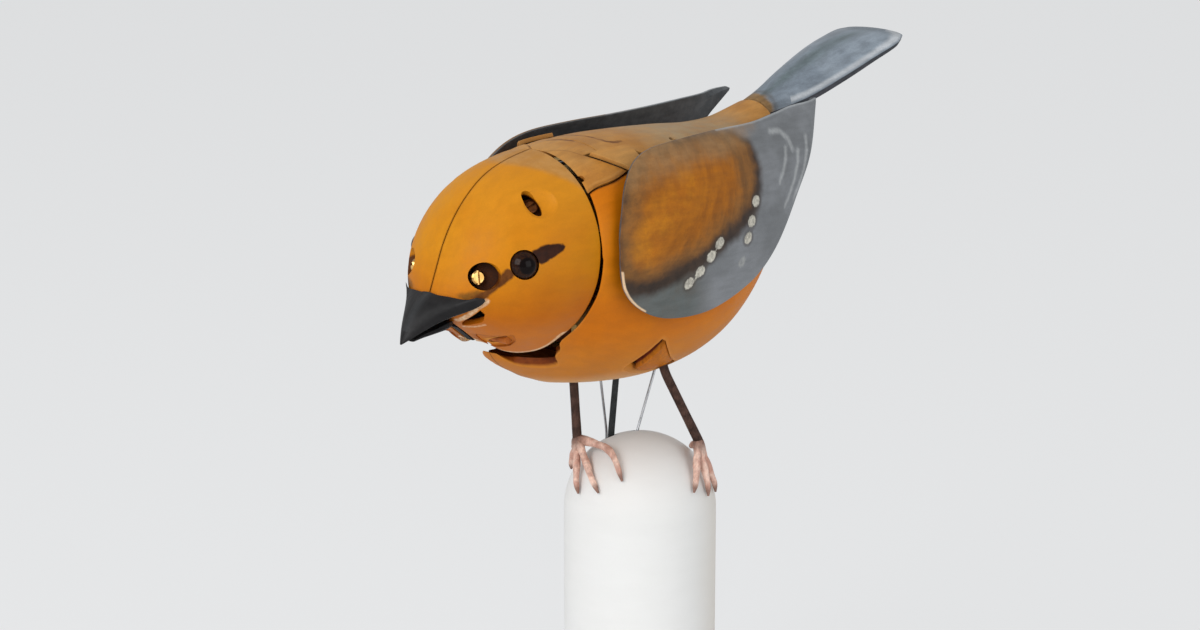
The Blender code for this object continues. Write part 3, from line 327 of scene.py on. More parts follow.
def to_piece(name: str, points: np.ndarray | Sequence[Point], faces: list[tuple[int, ...]],
             sharp: float = 38.0) -> Piece:
    """A closed mesh piece with its place in its mesh.

    Args:
        name: The piece's name.
        points: Its points in millimetres.
        faces: Its faces as point numbers.
        sharp: Angle in degrees past which an edge shades sharp.

    Returns:
        The new object, at the origin.
    """
    mesh = bpy.data.meshes.new(name)
    mesh.from_pydata((np.asarray(points, float).reshape(-1, 3) * MM).tolist(), [], faces)
    work = bmesh.new()
    work.from_mesh(mesh)
    bmesh.ops.remove_doubles(work, verts=work.verts, dist=0.000002)
    bmesh.ops.recalc_face_normals(work, faces=work.faces)
    if work.calc_volume(signed=True) < 0 and all(len(edge.link_faces) == 2 for edge in work.edges):
        bmesh.ops.reverse_faces(work, faces=work.faces)
    work.to_mesh(mesh)
    work.free()
    piece = linked(name, mesh)
    shade(piece, sharp)
    return piece


def linked(name: str, data: bpy.types.ID) -> bpy.types.Object:
    """A new object in the scene that holds a mesh, lamp or camera."""
    made = bpy.data.objects.new(name, data)
    bpy.context.scene.collection.objects.link(made)
    return made


def shade(piece: Piece, sharp: float = 38.0) -> None:
    """Smooth shading with sharp edges past an angle."""
    piece.data.shade_smooth()
    piece.data.set_sharp_from_angle(angle=math.radians(sharp))


def grid_faces(rows: int, columns: int, offset: int, flip: bool, wrap: bool) -> list[tuple[int, ...]]:
    """Quads of a grid of points."""
    faces = []
    for row in range(rows - 1):
        for column in range(columns if wrap else columns - 1):
            after = (column + 1) % columns
            low, high = offset + row * columns, offset + (row + 1) * columns
            quad = (low + column, low + after, high + after, high + column)
            faces.append(quad[::-1] if flip else quad)
    return faces


def skin(name: str, outer: np.ndarray, inner: np.ndarray) -> Piece:
    """A thick skin between two grids of points of the same layout."""
    rows, columns = outer.shape[:2]
    size = rows * columns
    faces = grid_faces(rows, columns, 0, False, False) + grid_faces(rows, columns, size, True, False)
    for row in (0, rows - 1):
        for column in range(columns - 1):
            a, b = row * columns + column, row * columns + column + 1
            faces.append((a, b, size + b, size + a))
    for column in (0, columns - 1):
        for row in range(rows - 1):
            a, b = row * columns + column, (row + 1) * columns + column
            faces.append((a, b, size + b, size + a))
    return to_piece(name, np.concatenate([outer.reshape(-1, 3), inner.reshape(-1, 3)]), faces)


def loft(name: str, rings: np.ndarray, sharp: float = 38.0) -> Piece:
    """A solid through closed rings, with its two ends filled."""
    rows, columns = rings.shape[:2]
    faces = grid_faces(rows, columns, 0, False, True)
    faces.append(tuple(range(columns)))
    faces.append(tuple((rows - 1) * columns + index for index in range(columns)))
    return to_piece(name, rings, faces, sharp)


def lathe(name: str, profile: Sequence[Pair], sides: int) -> Piece:
    """A turned piece from (radius, height) points; a profile with both ends off the axis closes on itself."""
    turns = round_turns(sides)
    shape = np.array(profile, float)
    radius, height = shape[:, 0][:, None], shape[:, 1][:, None]
    rings = np.stack(np.broadcast_arrays(radius * np.cos(turns), radius * np.sin(turns), height), -1)
    faces = grid_faces(len(shape), sides, 0, False, True)
    if min(shape[0, 0], shape[-1, 0]) > 0.01:
        last = (len(shape) - 1) * sides
        faces += [(last + i, last + (i + 1) % sides, (i + 1) % sides, i) for i in range(sides)]
    return to_piece(name, rings, faces)


def tube(name: str, path: Iterable[Sequence[float]], radii: float | Sequence[float], sides: int) -> Piece:
    """A rod along a path.

    Args:
        name: The piece's name.
        path: Its centre line.
        radii: One radius, or one for each point.
        sides: Points in each ring.

    Returns:
        The new piece.
    """
    line = [Vector(point) for point in path]
    widths = [radii] * len(line) if isinstance(radii, (int, float)) else [float(r) for r in radii]
    turns = round_turns(sides).tolist()
    rings = []
    across = None
    for index, point in enumerate(line):
        ahead = line[min(index + 1, len(line) - 1)] - point
        behind = point - line[max(index - 1, 0)]
        along = (ahead.normalized() + behind.normalized()).normalized()
        if across is None:
            guide = Vector((0, 0, 1)) if abs(along.z) < 0.9 else Vector((0, 1, 0))
            across = along.cross(guide).normalized()
        across = (across - along * across.dot(along)).normalized()
        up = along.cross(across)
        width = widths[index]
        rings.append([tuple(point + width * (math.cos(t) * across + math.sin(t) * up)) for t in turns])
    return loft(name, np.array(rings), 50.0)


def bent(points: Sequence[Sequence[float]], radius: float) -> list[Vector]:
    """A path with each corner rounded like bent wire."""
    corners = [Vector(p) for p in points]
    path = [corners[0]]
    for before, here, after in zip(corners[:-2], corners[1:-1], corners[2:]):
        back, ahead = before - here, after - here
        room = min(radius, back.length * 0.45, ahead.length * 0.45)
        start, stop = here + back.normalized() * room, here + ahead.normalized() * room
        for share in steps(0.0, 1.0, 6):
            path.append(start.lerp(here, share).lerp(here.lerp(stop, share), share))
    path.append(corners[-1])
    return path


def ball(name: str, centre: Sequence[float], radius: float, across: int = 48) -> Piece:
    """A turned ball of many faces, with its poles along X."""
    down_turns = steps(0.01, math.pi - 0.01, 24)
    turns = round_turns(across)
    middle = np.array(centre, float)
    rings = np.stack(np.broadcast_arrays(
        middle[0] + radius * np.cos(down_turns)[:, None],
        middle[1] + radius * np.sin(down_turns)[:, None] * np.cos(turns),
        middle[2] + radius * np.sin(down_turns)[:, None] * np.sin(turns)), -1)
    return loft(name, rings, 60.0)


def block(name: str, low: Point, high: Point) -> Piece:
    """A straight-sided cutter or blank between two corners."""
    ring = [(low[0], low[1]), (high[0], low[1]), (high[0], high[1]), (low[0], high[1])]
    return loft(name, np.array([[(x, y, z) for x, y in ring] for z in (low[2], high[2])]))


def plan_loft(name: str, ring: np.ndarray, low: float, high: float) -> Piece:
    """A cutter with a plan outline, between two heights above the dome's middle."""
    return loft(name, np.stack([np.column_stack([ring, np.full(len(ring), DOME + z)]) for z in (low, high)]))


def settle(piece: Piece) -> None:
    """Turns live modifiers into the piece's own mesh."""
    bpy.context.view_layer.update()
    graph = bpy.context.evaluated_depsgraph_get()
    made = bpy.data.meshes.new_from_object(piece.evaluated_get(graph))
    old = piece.data
    piece.modifiers.clear()
    piece.data = made
    bpy.data.meshes.remove(old)


def discard(piece: Piece) -> None:
    """Takes a cutter or blank away."""
    mesh = piece.data
    bpy.data.objects.remove(piece, do_unlink=True)
    bpy.data.meshes.remove(mesh)


def seal(piece: Piece) -> None:
    """Closes the small openings that joining can leave."""
    work = bmesh.new()
    work.from_mesh(piece.data)
    bmesh.ops.remove_doubles(work, verts=work.verts, dist=0.000001)
    bmesh.ops.holes_fill(work, edges=[edge for edge in work.edges if len(edge.link_faces) == 1], sides=0)
    work.to_mesh(piece.data)
    work.free()


def carve(piece: Piece, tools: Sequence[Piece], operation: str = "DIFFERENCE") -> Piece:
    """Cuts tools out of a piece, or joins them to it, and takes them away."""
    for tool in tools:
        step = piece.modifiers.new(tool.name[:50], "BOOLEAN")
        step.operation = operation
        step.object = tool
        step.solver = "EXACT"
    settle(piece)
    for tool in tools:
        discard(tool)
    if operation == "UNION":
        seal(piece)
    shade(piece)
    return piece


def soften(piece: Piece, width: float, segments: int = 2, angle: float = 45.0) -> Piece:
    """Rounds a piece's hard edges over."""
    step = piece.modifiers.new("edge", "BEVEL")
    step.width = width * MM
    step.segments = segments
    step.limit_method = "ANGLE"
    step.angle_limit = math.radians(angle)
    settle(piece)
    shade(piece)
    return piece


def mark(piece: Piece, fields: dict[str, Field]) -> None:
    """Writes paint fields, mostly distances in millimetres, on a piece's points."""
    mesh = piece.data
    flat = np.zeros(len(mesh.vertices) * 3, np.float32)
    mesh.vertices.foreach_get("co", flat)
    at = flat.reshape(-1, 3).astype(float) / MM - DOME_UP
    for name, field in fields.items():
        attribute = mesh.attributes.new(name, "FLOAT", "POINT")
        attribute.data.foreach_set("value", np.asarray(field(at), np.float32))


class Nodes:
    """A material's shader nodes, with short ways to add the usual ones."""

    def __init__(self, name: str) -> None:
        """Makes the material and its Principled shader."""
        self.material = bpy.data.materials.new(name)
        self.material.use_nodes = True
        self.tree = self.material.node_tree
        self.shader = self.tree.nodes["Principled BSDF"]
        self.where = self.tree.nodes.new("ShaderNodeTexCoord").outputs["Object"]

    def feed(self, value: Socket | float | Sequence[float], target: Socket) -> None:
        """Links a socket, or sets a plain value."""
        if isinstance(value, bpy.types.NodeSocket):
            self.tree.links.new(value, target)
        elif isinstance(value, (int, float)):
            target.default_value = value
        else:
            target.default_value = (*value, 1.0) if len(target.default_value) == 4 else tuple(value)

    def noise(self, per_mm: float | Sequence[float], detail: float = 3.0, roughness: float = 0.55,
              turn: float = 0.0) -> Socket:
        """Noise of Object coordinates, with its waves for each millimetre along X, Y and Z."""
        scale = (per_mm,) * 3 if isinstance(per_mm, (int, float)) else per_mm
        mapping = self.tree.nodes.new("ShaderNodeMapping")
        mapping.inputs["Scale"].default_value = tuple(s / MM for s in scale)
        mapping.inputs["Rotation"].default_value = (turn, 0.0, 0.0)
        self.feed(self.where, mapping.inputs["Vector"])
        return self.noise_at(mapping.outputs[0], detail, roughness)

    def noise_at(self, where: Socket, detail: float, roughness: float) -> Socket:
        """Noise at the given coordinates."""
        noise = self.tree.nodes.new("ShaderNodeTexNoise")
        for label, value in (("Scale", 1.0), ("Detail", detail), ("Roughness", roughness)):
            noise.inputs[label].default_value = value
        self.feed(where, noise.inputs["Vector"])
        return noise.outputs["Fac"]

    def arc_noise(self) -> Socket:
        """Noise drawn out along arcs, from the piece's fields of distance and turn."""
        joined = self.tree.nodes.new("ShaderNodeCombineXYZ")
        per_mm, per_radian = 0.3, 4.5
        for target, name, waves in zip(joined.inputs, ("arc_distance", "arc_turn"), (per_mm, per_radian)):
            self.feed(self.maths("MULTIPLY", self.field(name), waves), target)
        return self.noise_at(joined.outputs[0], 5.0, 0.62)

    def field(self, name: str) -> Socket:
        """A paint field written on the piece."""
        node = self.tree.nodes.new("ShaderNodeAttribute")
        node.attribute_name = name
        return node.outputs["Fac"]

    def maths(self, operation: str, first: Socket | float, second: Socket | float = 0.0) -> Socket:
        """One sum."""
        node = self.tree.nodes.new("ShaderNodeMath")
        node.operation = operation
        self.feed(first, node.inputs[0])
        self.feed(second, node.inputs[1])
        return node.outputs[0]

    def between(self, value: Socket, low: float, high: float, first: float = 0.0,
                last: float = 1.0) -> Socket:
        """A soft step of value from first at low to last at high."""
        node = self.tree.nodes.new("ShaderNodeMapRange")
        node.interpolation_type = "SMOOTHSTEP"
        self.feed(value, node.inputs["Value"])
        for label, number in (("From Min", low), ("From Max", high), ("To Min", first), ("To Max", last)):
            node.inputs[label].default_value = number
        return node.outputs["Result"]

    def mix(self, share: Socket | float, first: Socket | Colour, second: Socket | Colour) -> Socket:
        """One colour over another."""
        node = self.tree.nodes.new("ShaderNodeMix")
        node.data_type = "RGBA"
        self.feed(share, node.inputs[0])
        self.feed(first, node.inputs[6])
        self.feed(second, node.inputs[7])
        return node.outputs[2]

    def lighten(self, colour: Socket, factor: Socket) -> Socket:
        """A colour made lighter or darker by a factor."""
        node = self.tree.nodes.new("ShaderNodeVectorMath")
        node.operation = "SCALE"
        self.feed(colour, node.inputs[0])
        self.feed(factor, node.inputs["Scale"])
        return node.outputs[0]

    def relief(self, height: Socket, depth: float) -> None:
        """Bump of a depth in millimetres, on the shader."""
        node = self.tree.nodes.new("ShaderNodeBump")
        node.inputs["Strength"].default_value = 1.0
        node.inputs["Distance"].default_value = depth * MM
        self.feed(height, node.inputs["Height"])
        self.feed(node.outputs[0], self.shader.inputs["Normal"])


@dataclass(frozen=True)
class Layer:
    """A coat of paint where a field is below its reach.

    soft is half the width of its edge and wobble how far noise moves that edge, both in millimetres.
    """

    field: str
    colour: Colour
    second: Colour | None = None
    reach: float = 0.0
    soft: float = 0.25
    wobble: float = 0.3
    grain: float = 0.8
    cover: float = 1.0
    worn: float = 0.0
    arcs: bool = False

    def over(self, nodes: Nodes, ground: Socket | Colour) -> Socket:
        """The ground colour with this coat over it."""
        breakup = nodes.noise(self.grain, 3.0)
        moved = nodes.maths("MULTIPLY", nodes.maths("SUBTRACT", breakup, 0.5), 2.0 * self.wobble)
        value = nodes.maths("ADD", nodes.field(self.field), moved)
        share = nodes.between(value, self.reach - self.soft, self.reach + self.soft, self.cover, 0.0)
        if self.worn:
            thin = nodes.between(nodes.noise(self.grain * 2.3, 4.0), 0.4, 0.62, 1.0, 1.0 - self.worn)
            share = nodes.maths("MULTIPLY", share, thin)
        coat: Socket | Colour = self.colour
        if self.second:
            blend = nodes.arc_noise() if self.arcs else nodes.noise(self.grain * 0.7, 5.0, 0.65)
            coat = nodes.mix(nodes.between(blend, 0.36, 0.64), self.colour, self.second)
        return nodes.mix(share, ground, coat)


class Finish:
    """A finish whose shader material is made once and then shared."""

    name: str

    def fill(self, nodes: Nodes) -> None:
        """Sets the shader up, in each kind of finish's own way."""
        raise NotImplementedError

    def material(self) -> bpy.types.Material:
        """The shader material of this finish."""
        label = f"{self.name}_finish"
        found = bpy.data.materials.get(label)
        if not found:
            nodes = Nodes(label)
            self.fill(nodes)
            found = nodes.material
        return found


@dataclass(frozen=True)
class Paint(Finish):
    """A brushed finish: two close colours, strokes, coats of paint by field, and a sheen."""

    name: str
    ground: Colour
    second: Colour
    patches: float = 0.05
    stroke: Point = (0.5, 0.12, 0.5)
    turn: float = 0.0
    depth: float = 0.08
    layers: tuple[Layer, ...] = ()
    roughness: Pair = (0.42, 0.58)
    relief: float = 0.05
    specular: float = 0.14
    metallic: float = 0.0

    def fill(self, nodes: Nodes) -> None:
        """Sets the shader up."""
        broad = nodes.noise(self.patches, 3.0)
        colour = nodes.mix(nodes.between(broad, 0.36, 0.64), self.ground, self.second)
        for layer in self.layers:
            colour = layer.over(nodes, colour)
        brushed = nodes.noise(self.stroke, 5.0, 0.6, self.turn)
        fine = nodes.noise(2.2, 3.0, 0.6)
        tone = nodes.between(brushed, 0.3, 0.7, 1.0 - self.depth, 1.0 + self.depth)
        speck = nodes.between(fine, 0.3, 0.7, 1.0 - self.depth * 0.4, 1.0 + self.depth * 0.4)
        colour = nodes.lighten(nodes.lighten(colour, tone), speck)
        nodes.feed(colour, nodes.shader.inputs["Base Color"])
        nodes.feed(nodes.between(brushed, 0.25, 0.75, *self.roughness), nodes.shader.inputs["Roughness"])
        nodes.shader.inputs["Metallic"].default_value = self.metallic
        nodes.shader.inputs["Specular IOR Level"].default_value = self.specular
        height = nodes.maths("ADD", brushed, nodes.maths("MULTIPLY", fine, 0.35))
        nodes.relief(height, self.relief)


# Dark brown on the inner faces of the head and back shells: partly stained wood, partly painted shade that
# makes the openings into them read dark.
INSIDE_STAIN_AND_SHADE = Layer("inside", rgb(60, 20, 0), rgb(78, 28, 2), 0.0, 0.35, 0.15, 0.5)
# Painted shade: reddish brown on the breast shell's inner faces and, at the throat, on its rim face.
HOLLOW_SHADE = Layer("inside", rgb(132, 62, 14), rgb(104, 44, 8), 0.0, 0.4, 0.15, 0.3)
CREAM = rgb(226, 196, 160)
TAN = rgb(186, 136, 74)

HEAD_PAINT = Paint(
    "head_ochre", rgb(200, 130, 14), rgb(194, 118, 8), 0.03, (0.35, 0.1, 0.35), 0.5, 0.05,
    (
        # The next three coats are partly the paint's own tone and partly painted light: darker and more
        # orange low on the face, lighter on top.
        Layer("cheek", rgb(182, 96, 0), rgb(174, 88, 0), 0.0, 11.0, 1.5, 0.06, 0.92),
        Layer("brow", rgb(212, 146, 36), None, 0.0, 6.0, 2.0, 0.08, 0.4),
        Layer("low_face", rgb(190, 112, 42), None, 0.0, 4.0, 1.5, 0.08, 0.6),
        Layer("tan", TAN, rgb(176, 124, 60), 0.0, 1.6, 0.9, 0.3, 0.92),
        Layer("seam", rgb(110, 66, 12), None, 0.38, 0.3, 0.1, 0.8, 0.6),
        Layer("smear", rgb(92, 62, 16), rgb(112, 70, 18), 0.0, 0.6, 0.5, 0.6, 0.8),
        Layer("lore", rgb(82, 42, 8), rgb(104, 58, 16), 0.15, 0.35, 0.35, 0.7, 1.0),
        Layer("stripe", rgb(40, 12, 0), rgb(54, 20, 1), 0.2, 0.3, 0.3, 0.7, 1.0),
        Layer("leaf", rgb(214, 142, 58), None, 0.0, 0.3, 0.2, 0.8, 0.75),
        # Painted shade: a dark line round the edge of the leaf recess.
        Layer("leaf_line", rgb(134, 70, 18), None, 0.12, 0.2, 0.1, 1.2, 0.85),
        Layer("cream", CREAM, rgb(206, 156, 112), 0.0, 0.3, 0.3, 1.2, 0.95, 0.15),
        INSIDE_STAIN_AND_SHADE,
        # Painted highlight: bright orange on the cut edge of the shell's rear rim.
        Layer("raw_edge", rgb(255, 190, 96), None, 0.0, 0.15, 0.05, 0.8),
    ),
)
BREAST_PAINT = Paint(
    "breast_ochre", rgb(204, 118, 8), rgb(194, 106, 4), 0.03, (0.4, 0.08, 0.3), 0.0, 0.06,
    (
        Layer("low", rgb(186, 120, 44), rgb(180, 112, 34), 0.0, 9.0, 2.0, 0.07, 0.75),
        Layer("belly_edge", rgb(206, 160, 112), None, 0.8, 3.4, 1.0, 0.1, 0.9),
        Layer("edge_line", rgb(96, 52, 18), None, 0.35, 0.3, 0.15, 0.9, 0.7),
        Layer("pale_rim", rgb(206, 136, 60), None, 0.0, 0.3, 0.15, 1.0, 0.35),
        HOLLOW_SHADE,
        # Painted highlight: bright orange on the cut face of the breast's front edge, high up.
        Layer("raw_edge", rgb(255, 190, 96), None, 0.0, 0.15, 0.05, 0.8),
    ),
)
BACK_PAINT = Paint(
    "back_tan", TAN, rgb(168, 116, 56), 0.06, (0.5, 0.09, 0.4), 0.0, 0.1,
    (
        Layer("ochre_wash", rgb(186, 120, 34), rgb(168, 106, 36), 0.0, 4.0, 2.0, 0.2, 0.65),
        Layer("grey_wash", rgb(160, 142, 112), rgb(158, 130, 94), 0.0, 9.0, 5.0, 0.1, 0.8, 0.3),
        Layer("edge_line", rgb(128, 84, 40), None, 0.3, 0.3, 0.15, 0.9, 0.6),
        Layer("groove", rgb(84, 44, 20), rgb(110, 66, 36), 0.05, 0.4, 0.35, 0.9, 0.85),
        Layer("pale_rim", rgb(206, 160, 104), None, 0.0, 0.3, 0.12, 1.0, 0.25),
        INSIDE_STAIN_AND_SHADE,
    ),
)
WING_PAINT = Paint(
    "wing_grey", rgb(126, 129, 133), rgb(112, 115, 118), 0.05, (0.5, 0.1, 0.5), 0.7, 0.1,
    (
        Layer("front", rgb(92, 88, 80), rgb(88, 94, 92), 0.0, 7.0, 2.0, 0.1, 0.85),
        Layer("halo", rgb(44, 32, 25), rgb(60, 44, 33), 0.0, 1.8, 1.0, 0.25, 0.96),
        Layer("patch", rgb(136, 90, 40), rgb(112, 76, 38), 0.0, 2.0, 1.6, 0.3, 0.95, 0.0, True),
        Layer("patch_core", rgb(166, 98, 6), rgb(146, 84, 8), 0.0, 4.0, 3.0, 0.22, 0.95, 0.0, True),
        Layer("glow", rgb(190, 120, 8), rgb(166, 96, 6), 0.0, 3.5, 4.0, 0.2, 0.7, 0.3),
        # Painted reflection: the wing's top paler and greyer, as sky light on it.
        Layer("sky", rgb(160, 126, 86), rgb(142, 110, 74), 0.0, 3.5, 3.0, 0.12, 0.55, 0.3),
        Layer("strokes", rgb(176, 179, 180), None, 0.0, 0.8, 0.5, 0.5, 0.7, 0.2),
        Layer("spot_ring", rgb(64, 56, 50), None, 0.0, 0.5, 0.3, 0.8, 0.5),
        Layer("spots", rgb(206, 202, 188), rgb(160, 156, 146), 0.0, 0.2, 0.4, 1.1, 0.97, 0.1),
        Layer("faint_spots", rgb(158, 160, 158), rgb(134, 136, 136), 0.0, 0.35, 0.5, 0.9, 0.8, 0.3),
        Layer("pale_edge", rgb(168, 172, 174), None, 0.0, 0.3, 0.12, 0.8, 0.6),
        Layer("cream_edge", CREAM, None, 0.0, 0.2, 0.1, 0.8, 0.95),
        Layer("inside", rgb(86, 89, 92), rgb(72, 75, 78), 0.0, 0.3, 0.15, 0.4),
    ),
    (0.4, 0.56), 0.05, 0.22,
)
TAIL_PAINT = Paint(
    "tail_blue", rgb(134, 144, 154), rgb(116, 126, 136), 0.06, (0.55, 0.035, 0.55), -0.26, 0.16,
    (
        Layer("shaft", rgb(96, 108, 112), rgb(84, 98, 98), 0.0, 2.6, 2.0, 0.12, 0.85),
        Layer("haze", rgb(158, 164, 172), None, 0.0, 2.6, 2.2, 0.2, 0.45, 0.5),
        Layer("tip", rgb(84, 92, 100), None, 0.0, 3.0, 2.0, 0.15, 0.6, 0.3),
        Layer("pale_edge", rgb(186, 190, 194), None, 0.25, 0.6, 0.2, 0.4, 0.8),
        Layer("root_line", rgb(82, 74, 66), None, 0.0, 1.3, 0.7, 0.4, 0.7),
        Layer("root", rgb(142, 110, 66), rgb(122, 92, 52), 0.0, 1.2, 1.0, 0.4, 0.95),
        # Painted shade: near-black on the tail's underside, the shadow under its edges.
        Layer("underside", rgb(34, 38, 44), rgb(58, 58, 64), 0.0, 0.25, 0.15, 0.2, 0.95),
    ),
    (0.4, 0.56), 0.05, 0.22,
)
BEAK_PAINT = Paint(
    "beak_black", rgb(28, 27, 28), rgb(22, 21, 22), 0.2, (0.9, 0.16, 0.9), 0.3, 0.16,
    # Painted highlight: a lighter line along the top of the beak.
    (Layer("ridge", rgb(66, 68, 70), None, 0.0, 1.6, 0.3, 0.6, 0.5),), (0.4, 0.55), 0.04, 0.2,
)
LEG_PAINT = Paint(
    "leg_brown", rgb(80, 58, 50), rgb(52, 36, 30), 0.3, (1.2, 1.2, 0.5), 0.0, 0.2,
    (
        Layer("thigh", rgb(188, 112, 20), rgb(176, 98, 14), 0.0, 0.2, 0.1, 0.1),
        # Painted shade: dark red-brown on the thigh's faces deeper than 1.3 mm, seen through the leg opening.
        Layer("inside", rgb(104, 34, 10), rgb(80, 26, 8), 0.0, 0.2, 0.1, 0.4),
    ), (0.5, 0.65), 0.08, 0.14,
)
TOE_PAINT = Paint(
    "toe_pink", rgb(232, 200, 184), rgb(196, 152, 136), 0.25, (1.4, 1.4, 0.35), 0.0, 0.16,
    (
        Layer("claw", rgb(122, 88, 76), None, 0.0, 1.2, 0.6, 0.5, 0.85),
        Layer("ankle", rgb(88, 62, 54), rgb(124, 92, 80), 0.0, 2.2, 1.0, 0.4, 0.95),
    ),
    (0.46, 0.62), 0.1, 0.2,
)
POST_PAINT = Paint(
    "post_white", rgb(228, 228, 227), rgb(225, 225, 223), 0.02, (0.05, 0.05, 0.2), 0.0, 0.01,
    # Painted shade: a warmer, darker tone on the post's side away from the key lamp.
    (Layer("aged", rgb(214, 205, 192), None, 0.0, 7.0, 1.0, 0.05, 0.8),), (0.5, 0.65),
    0.03, 0.25,
)
BRASS = Paint(
    "aged_brass", (0.72, 0.5, 0.2), (0.56, 0.36, 0.13), 0.12, (0.25, 2.5, 2.5), 0.0, 0.12, (), (0.24, 0.42),
    0.01, 0.5, 1.0,
)
SCREW_BRASS = Paint(
    "screw_brass", (0.8, 0.5, 0.18), (0.5, 0.28, 0.08), 0.5, (2.0, 2.0, 2.0), 0.0, 0.12, (), (0.16, 0.3),
    0.01, 0.5, 1.0,
)
SCREW_DARK = Paint(
    "screw_dark", rgb(112, 62, 22), rgb(74, 38, 12), 0.5, (2.0, 2.0, 2.0), 0.0, 0.15, (), (0.3, 0.45),
    0.01, 0.5, 0.8,
)
STEEL = Paint(
    "drawn_steel", (0.5, 0.51, 0.53), (0.4, 0.41, 0.43), 0.2, (3.0, 3.0, 0.2), 0.0, 0.08, (), (0.25, 0.4),
    0.008, 0.5, 1.0,
)
PAINTED_PIN = Paint(
    "painted_pin", rgb(178, 98, 34), rgb(140, 72, 22), 0.2, (1.6, 1.6, 1.6), 0.0, 0.12, (), (0.45, 0.6), 0.01,
)
RUBBER = Paint(
    "black_sleeve", rgb(50, 54, 56), rgb(36, 39, 40), 0.3, (1.0, 1.0, 0.2), 0.0, 0.12, (),
    (0.5, 0.7), 0.02, 0.2,
)
PEAR_WOOD = Paint(
    "pear_wood", rgb(150, 84, 44), rgb(120, 62, 30), 0.08, (1.6, 0.1, 1.6), 0.1, 0.2, (),
    (0.45, 0.65), 0.05, 0.2,
)
# Painted shade: the head core's dark brown, seen as the floor of the head's pockets, stands in for the shadow
# there.
POCKET_FLOOR_SHADE = Paint(
    "stained_wood", rgb(72, 36, 12), rgb(52, 24, 8), 0.08, (1.6, 0.1, 1.6), 0.1, 0.2, (),
    (0.5, 0.7), 0.05, 0.1,
)
JAW_PAINT = Paint(
    "jaw_black", rgb(28, 27, 28), rgb(22, 21, 22), 0.2, (0.9, 0.16, 0.9), 0.3, 0.16, (),
    (0.5, 0.62), 0.04, 0.1,
)
LEATHER = Paint(
    "kid_leather", rgb(196, 160, 120), rgb(170, 130, 92), 0.1, (1.2, 1.2, 1.2), 0.0, 0.12, (), (0.6, 0.8),
    0.08, 0.2,
)


@dataclass(frozen=True)
class EyeGlass(Finish):
    """Dark glass over a brown iris, clear and polished."""

    name: str = "eye_glass"
    pupil: Colour = (0.003, 0.001, 0.001)
    iris: Colour = (0.03, 0.01, 0.003)

    def fill(self, nodes: Nodes) -> None:
        """Sets the shader up."""
        flecks = nodes.noise(1.6, 4.0)
        iris = nodes.mix(nodes.between(flecks, 0.35, 0.65), self.iris, (0.012, 0.004, 0.003))
        share = nodes.between(nodes.field("pupil"), -0.25, 0.25)
        nodes.feed(nodes.mix(share, self.pupil, iris), nodes.shader.inputs["Base Color"])
        nodes.feed(nodes.between(flecks, 0.3, 0.7, 0.1, 0.16), nodes.shader.inputs["Roughness"])
        nodes.shader.inputs["Specular IOR Level"].default_value = 0.12
        nodes.relief(flecks, 0.005)


EYE = EyeGlass()


def dress(piece: Piece, finish: Finish, body: Body, slot: Slot, *nodes: str) -> Piece:
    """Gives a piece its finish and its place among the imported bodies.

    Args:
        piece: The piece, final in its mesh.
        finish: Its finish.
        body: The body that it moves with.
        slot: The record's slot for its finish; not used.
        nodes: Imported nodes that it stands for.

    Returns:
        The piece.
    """
    piece.data.materials.clear()
    piece.data.materials.append(finish.material())
    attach(piece, body.value)
    if nodes:
        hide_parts(*nodes)
    LOG.info("%s: %d faces, on %s", piece.name, len(piece.data.polygons), body.value)
    return piece


def mirrored(points: Sequence[Point], side: int) -> np.ndarray:
    """Points of the left side, or their image on the right."""
    return np.array(points, float) * np.array([side, 1.0, 1.0])


def reflected(piece: Piece, name: str) -> Piece:
    """The mirror image of a piece across X = 0, as a piece of its own."""
    mesh = piece.data.copy()
    mesh.name = name
    mesh.transform(Matrix.Diagonal((-1.0, 1.0, 1.0, 1.0)))
    mesh.flip_normals()
    return linked(name, mesh)


def skin_tool(name: str, outline: Sequence[Point], depth: float) -> Piece:
    """A cutter through the head's skin along an outline of points on it.

    Args:
        name: The cutter's name.
        outline: Points on the left side, with heights above the dome's middle.
        depth: How far in it goes.

    Returns:
        The cutter, standing 2 mm out.
    """
    points = np.array(outline, float) + DOME_UP
    middle = points.mean(0)
    heart = float(HEAD_FORM.parts(np.array([middle[1]]))[0][0]) + DOME
    angle = math.atan2(middle[0], middle[2] - heart)
    out = np.array(HEAD_FORM.normal(float(middle[1]), angle))
    return loft(name, np.stack([points - out * depth, points + out * 2.0]))


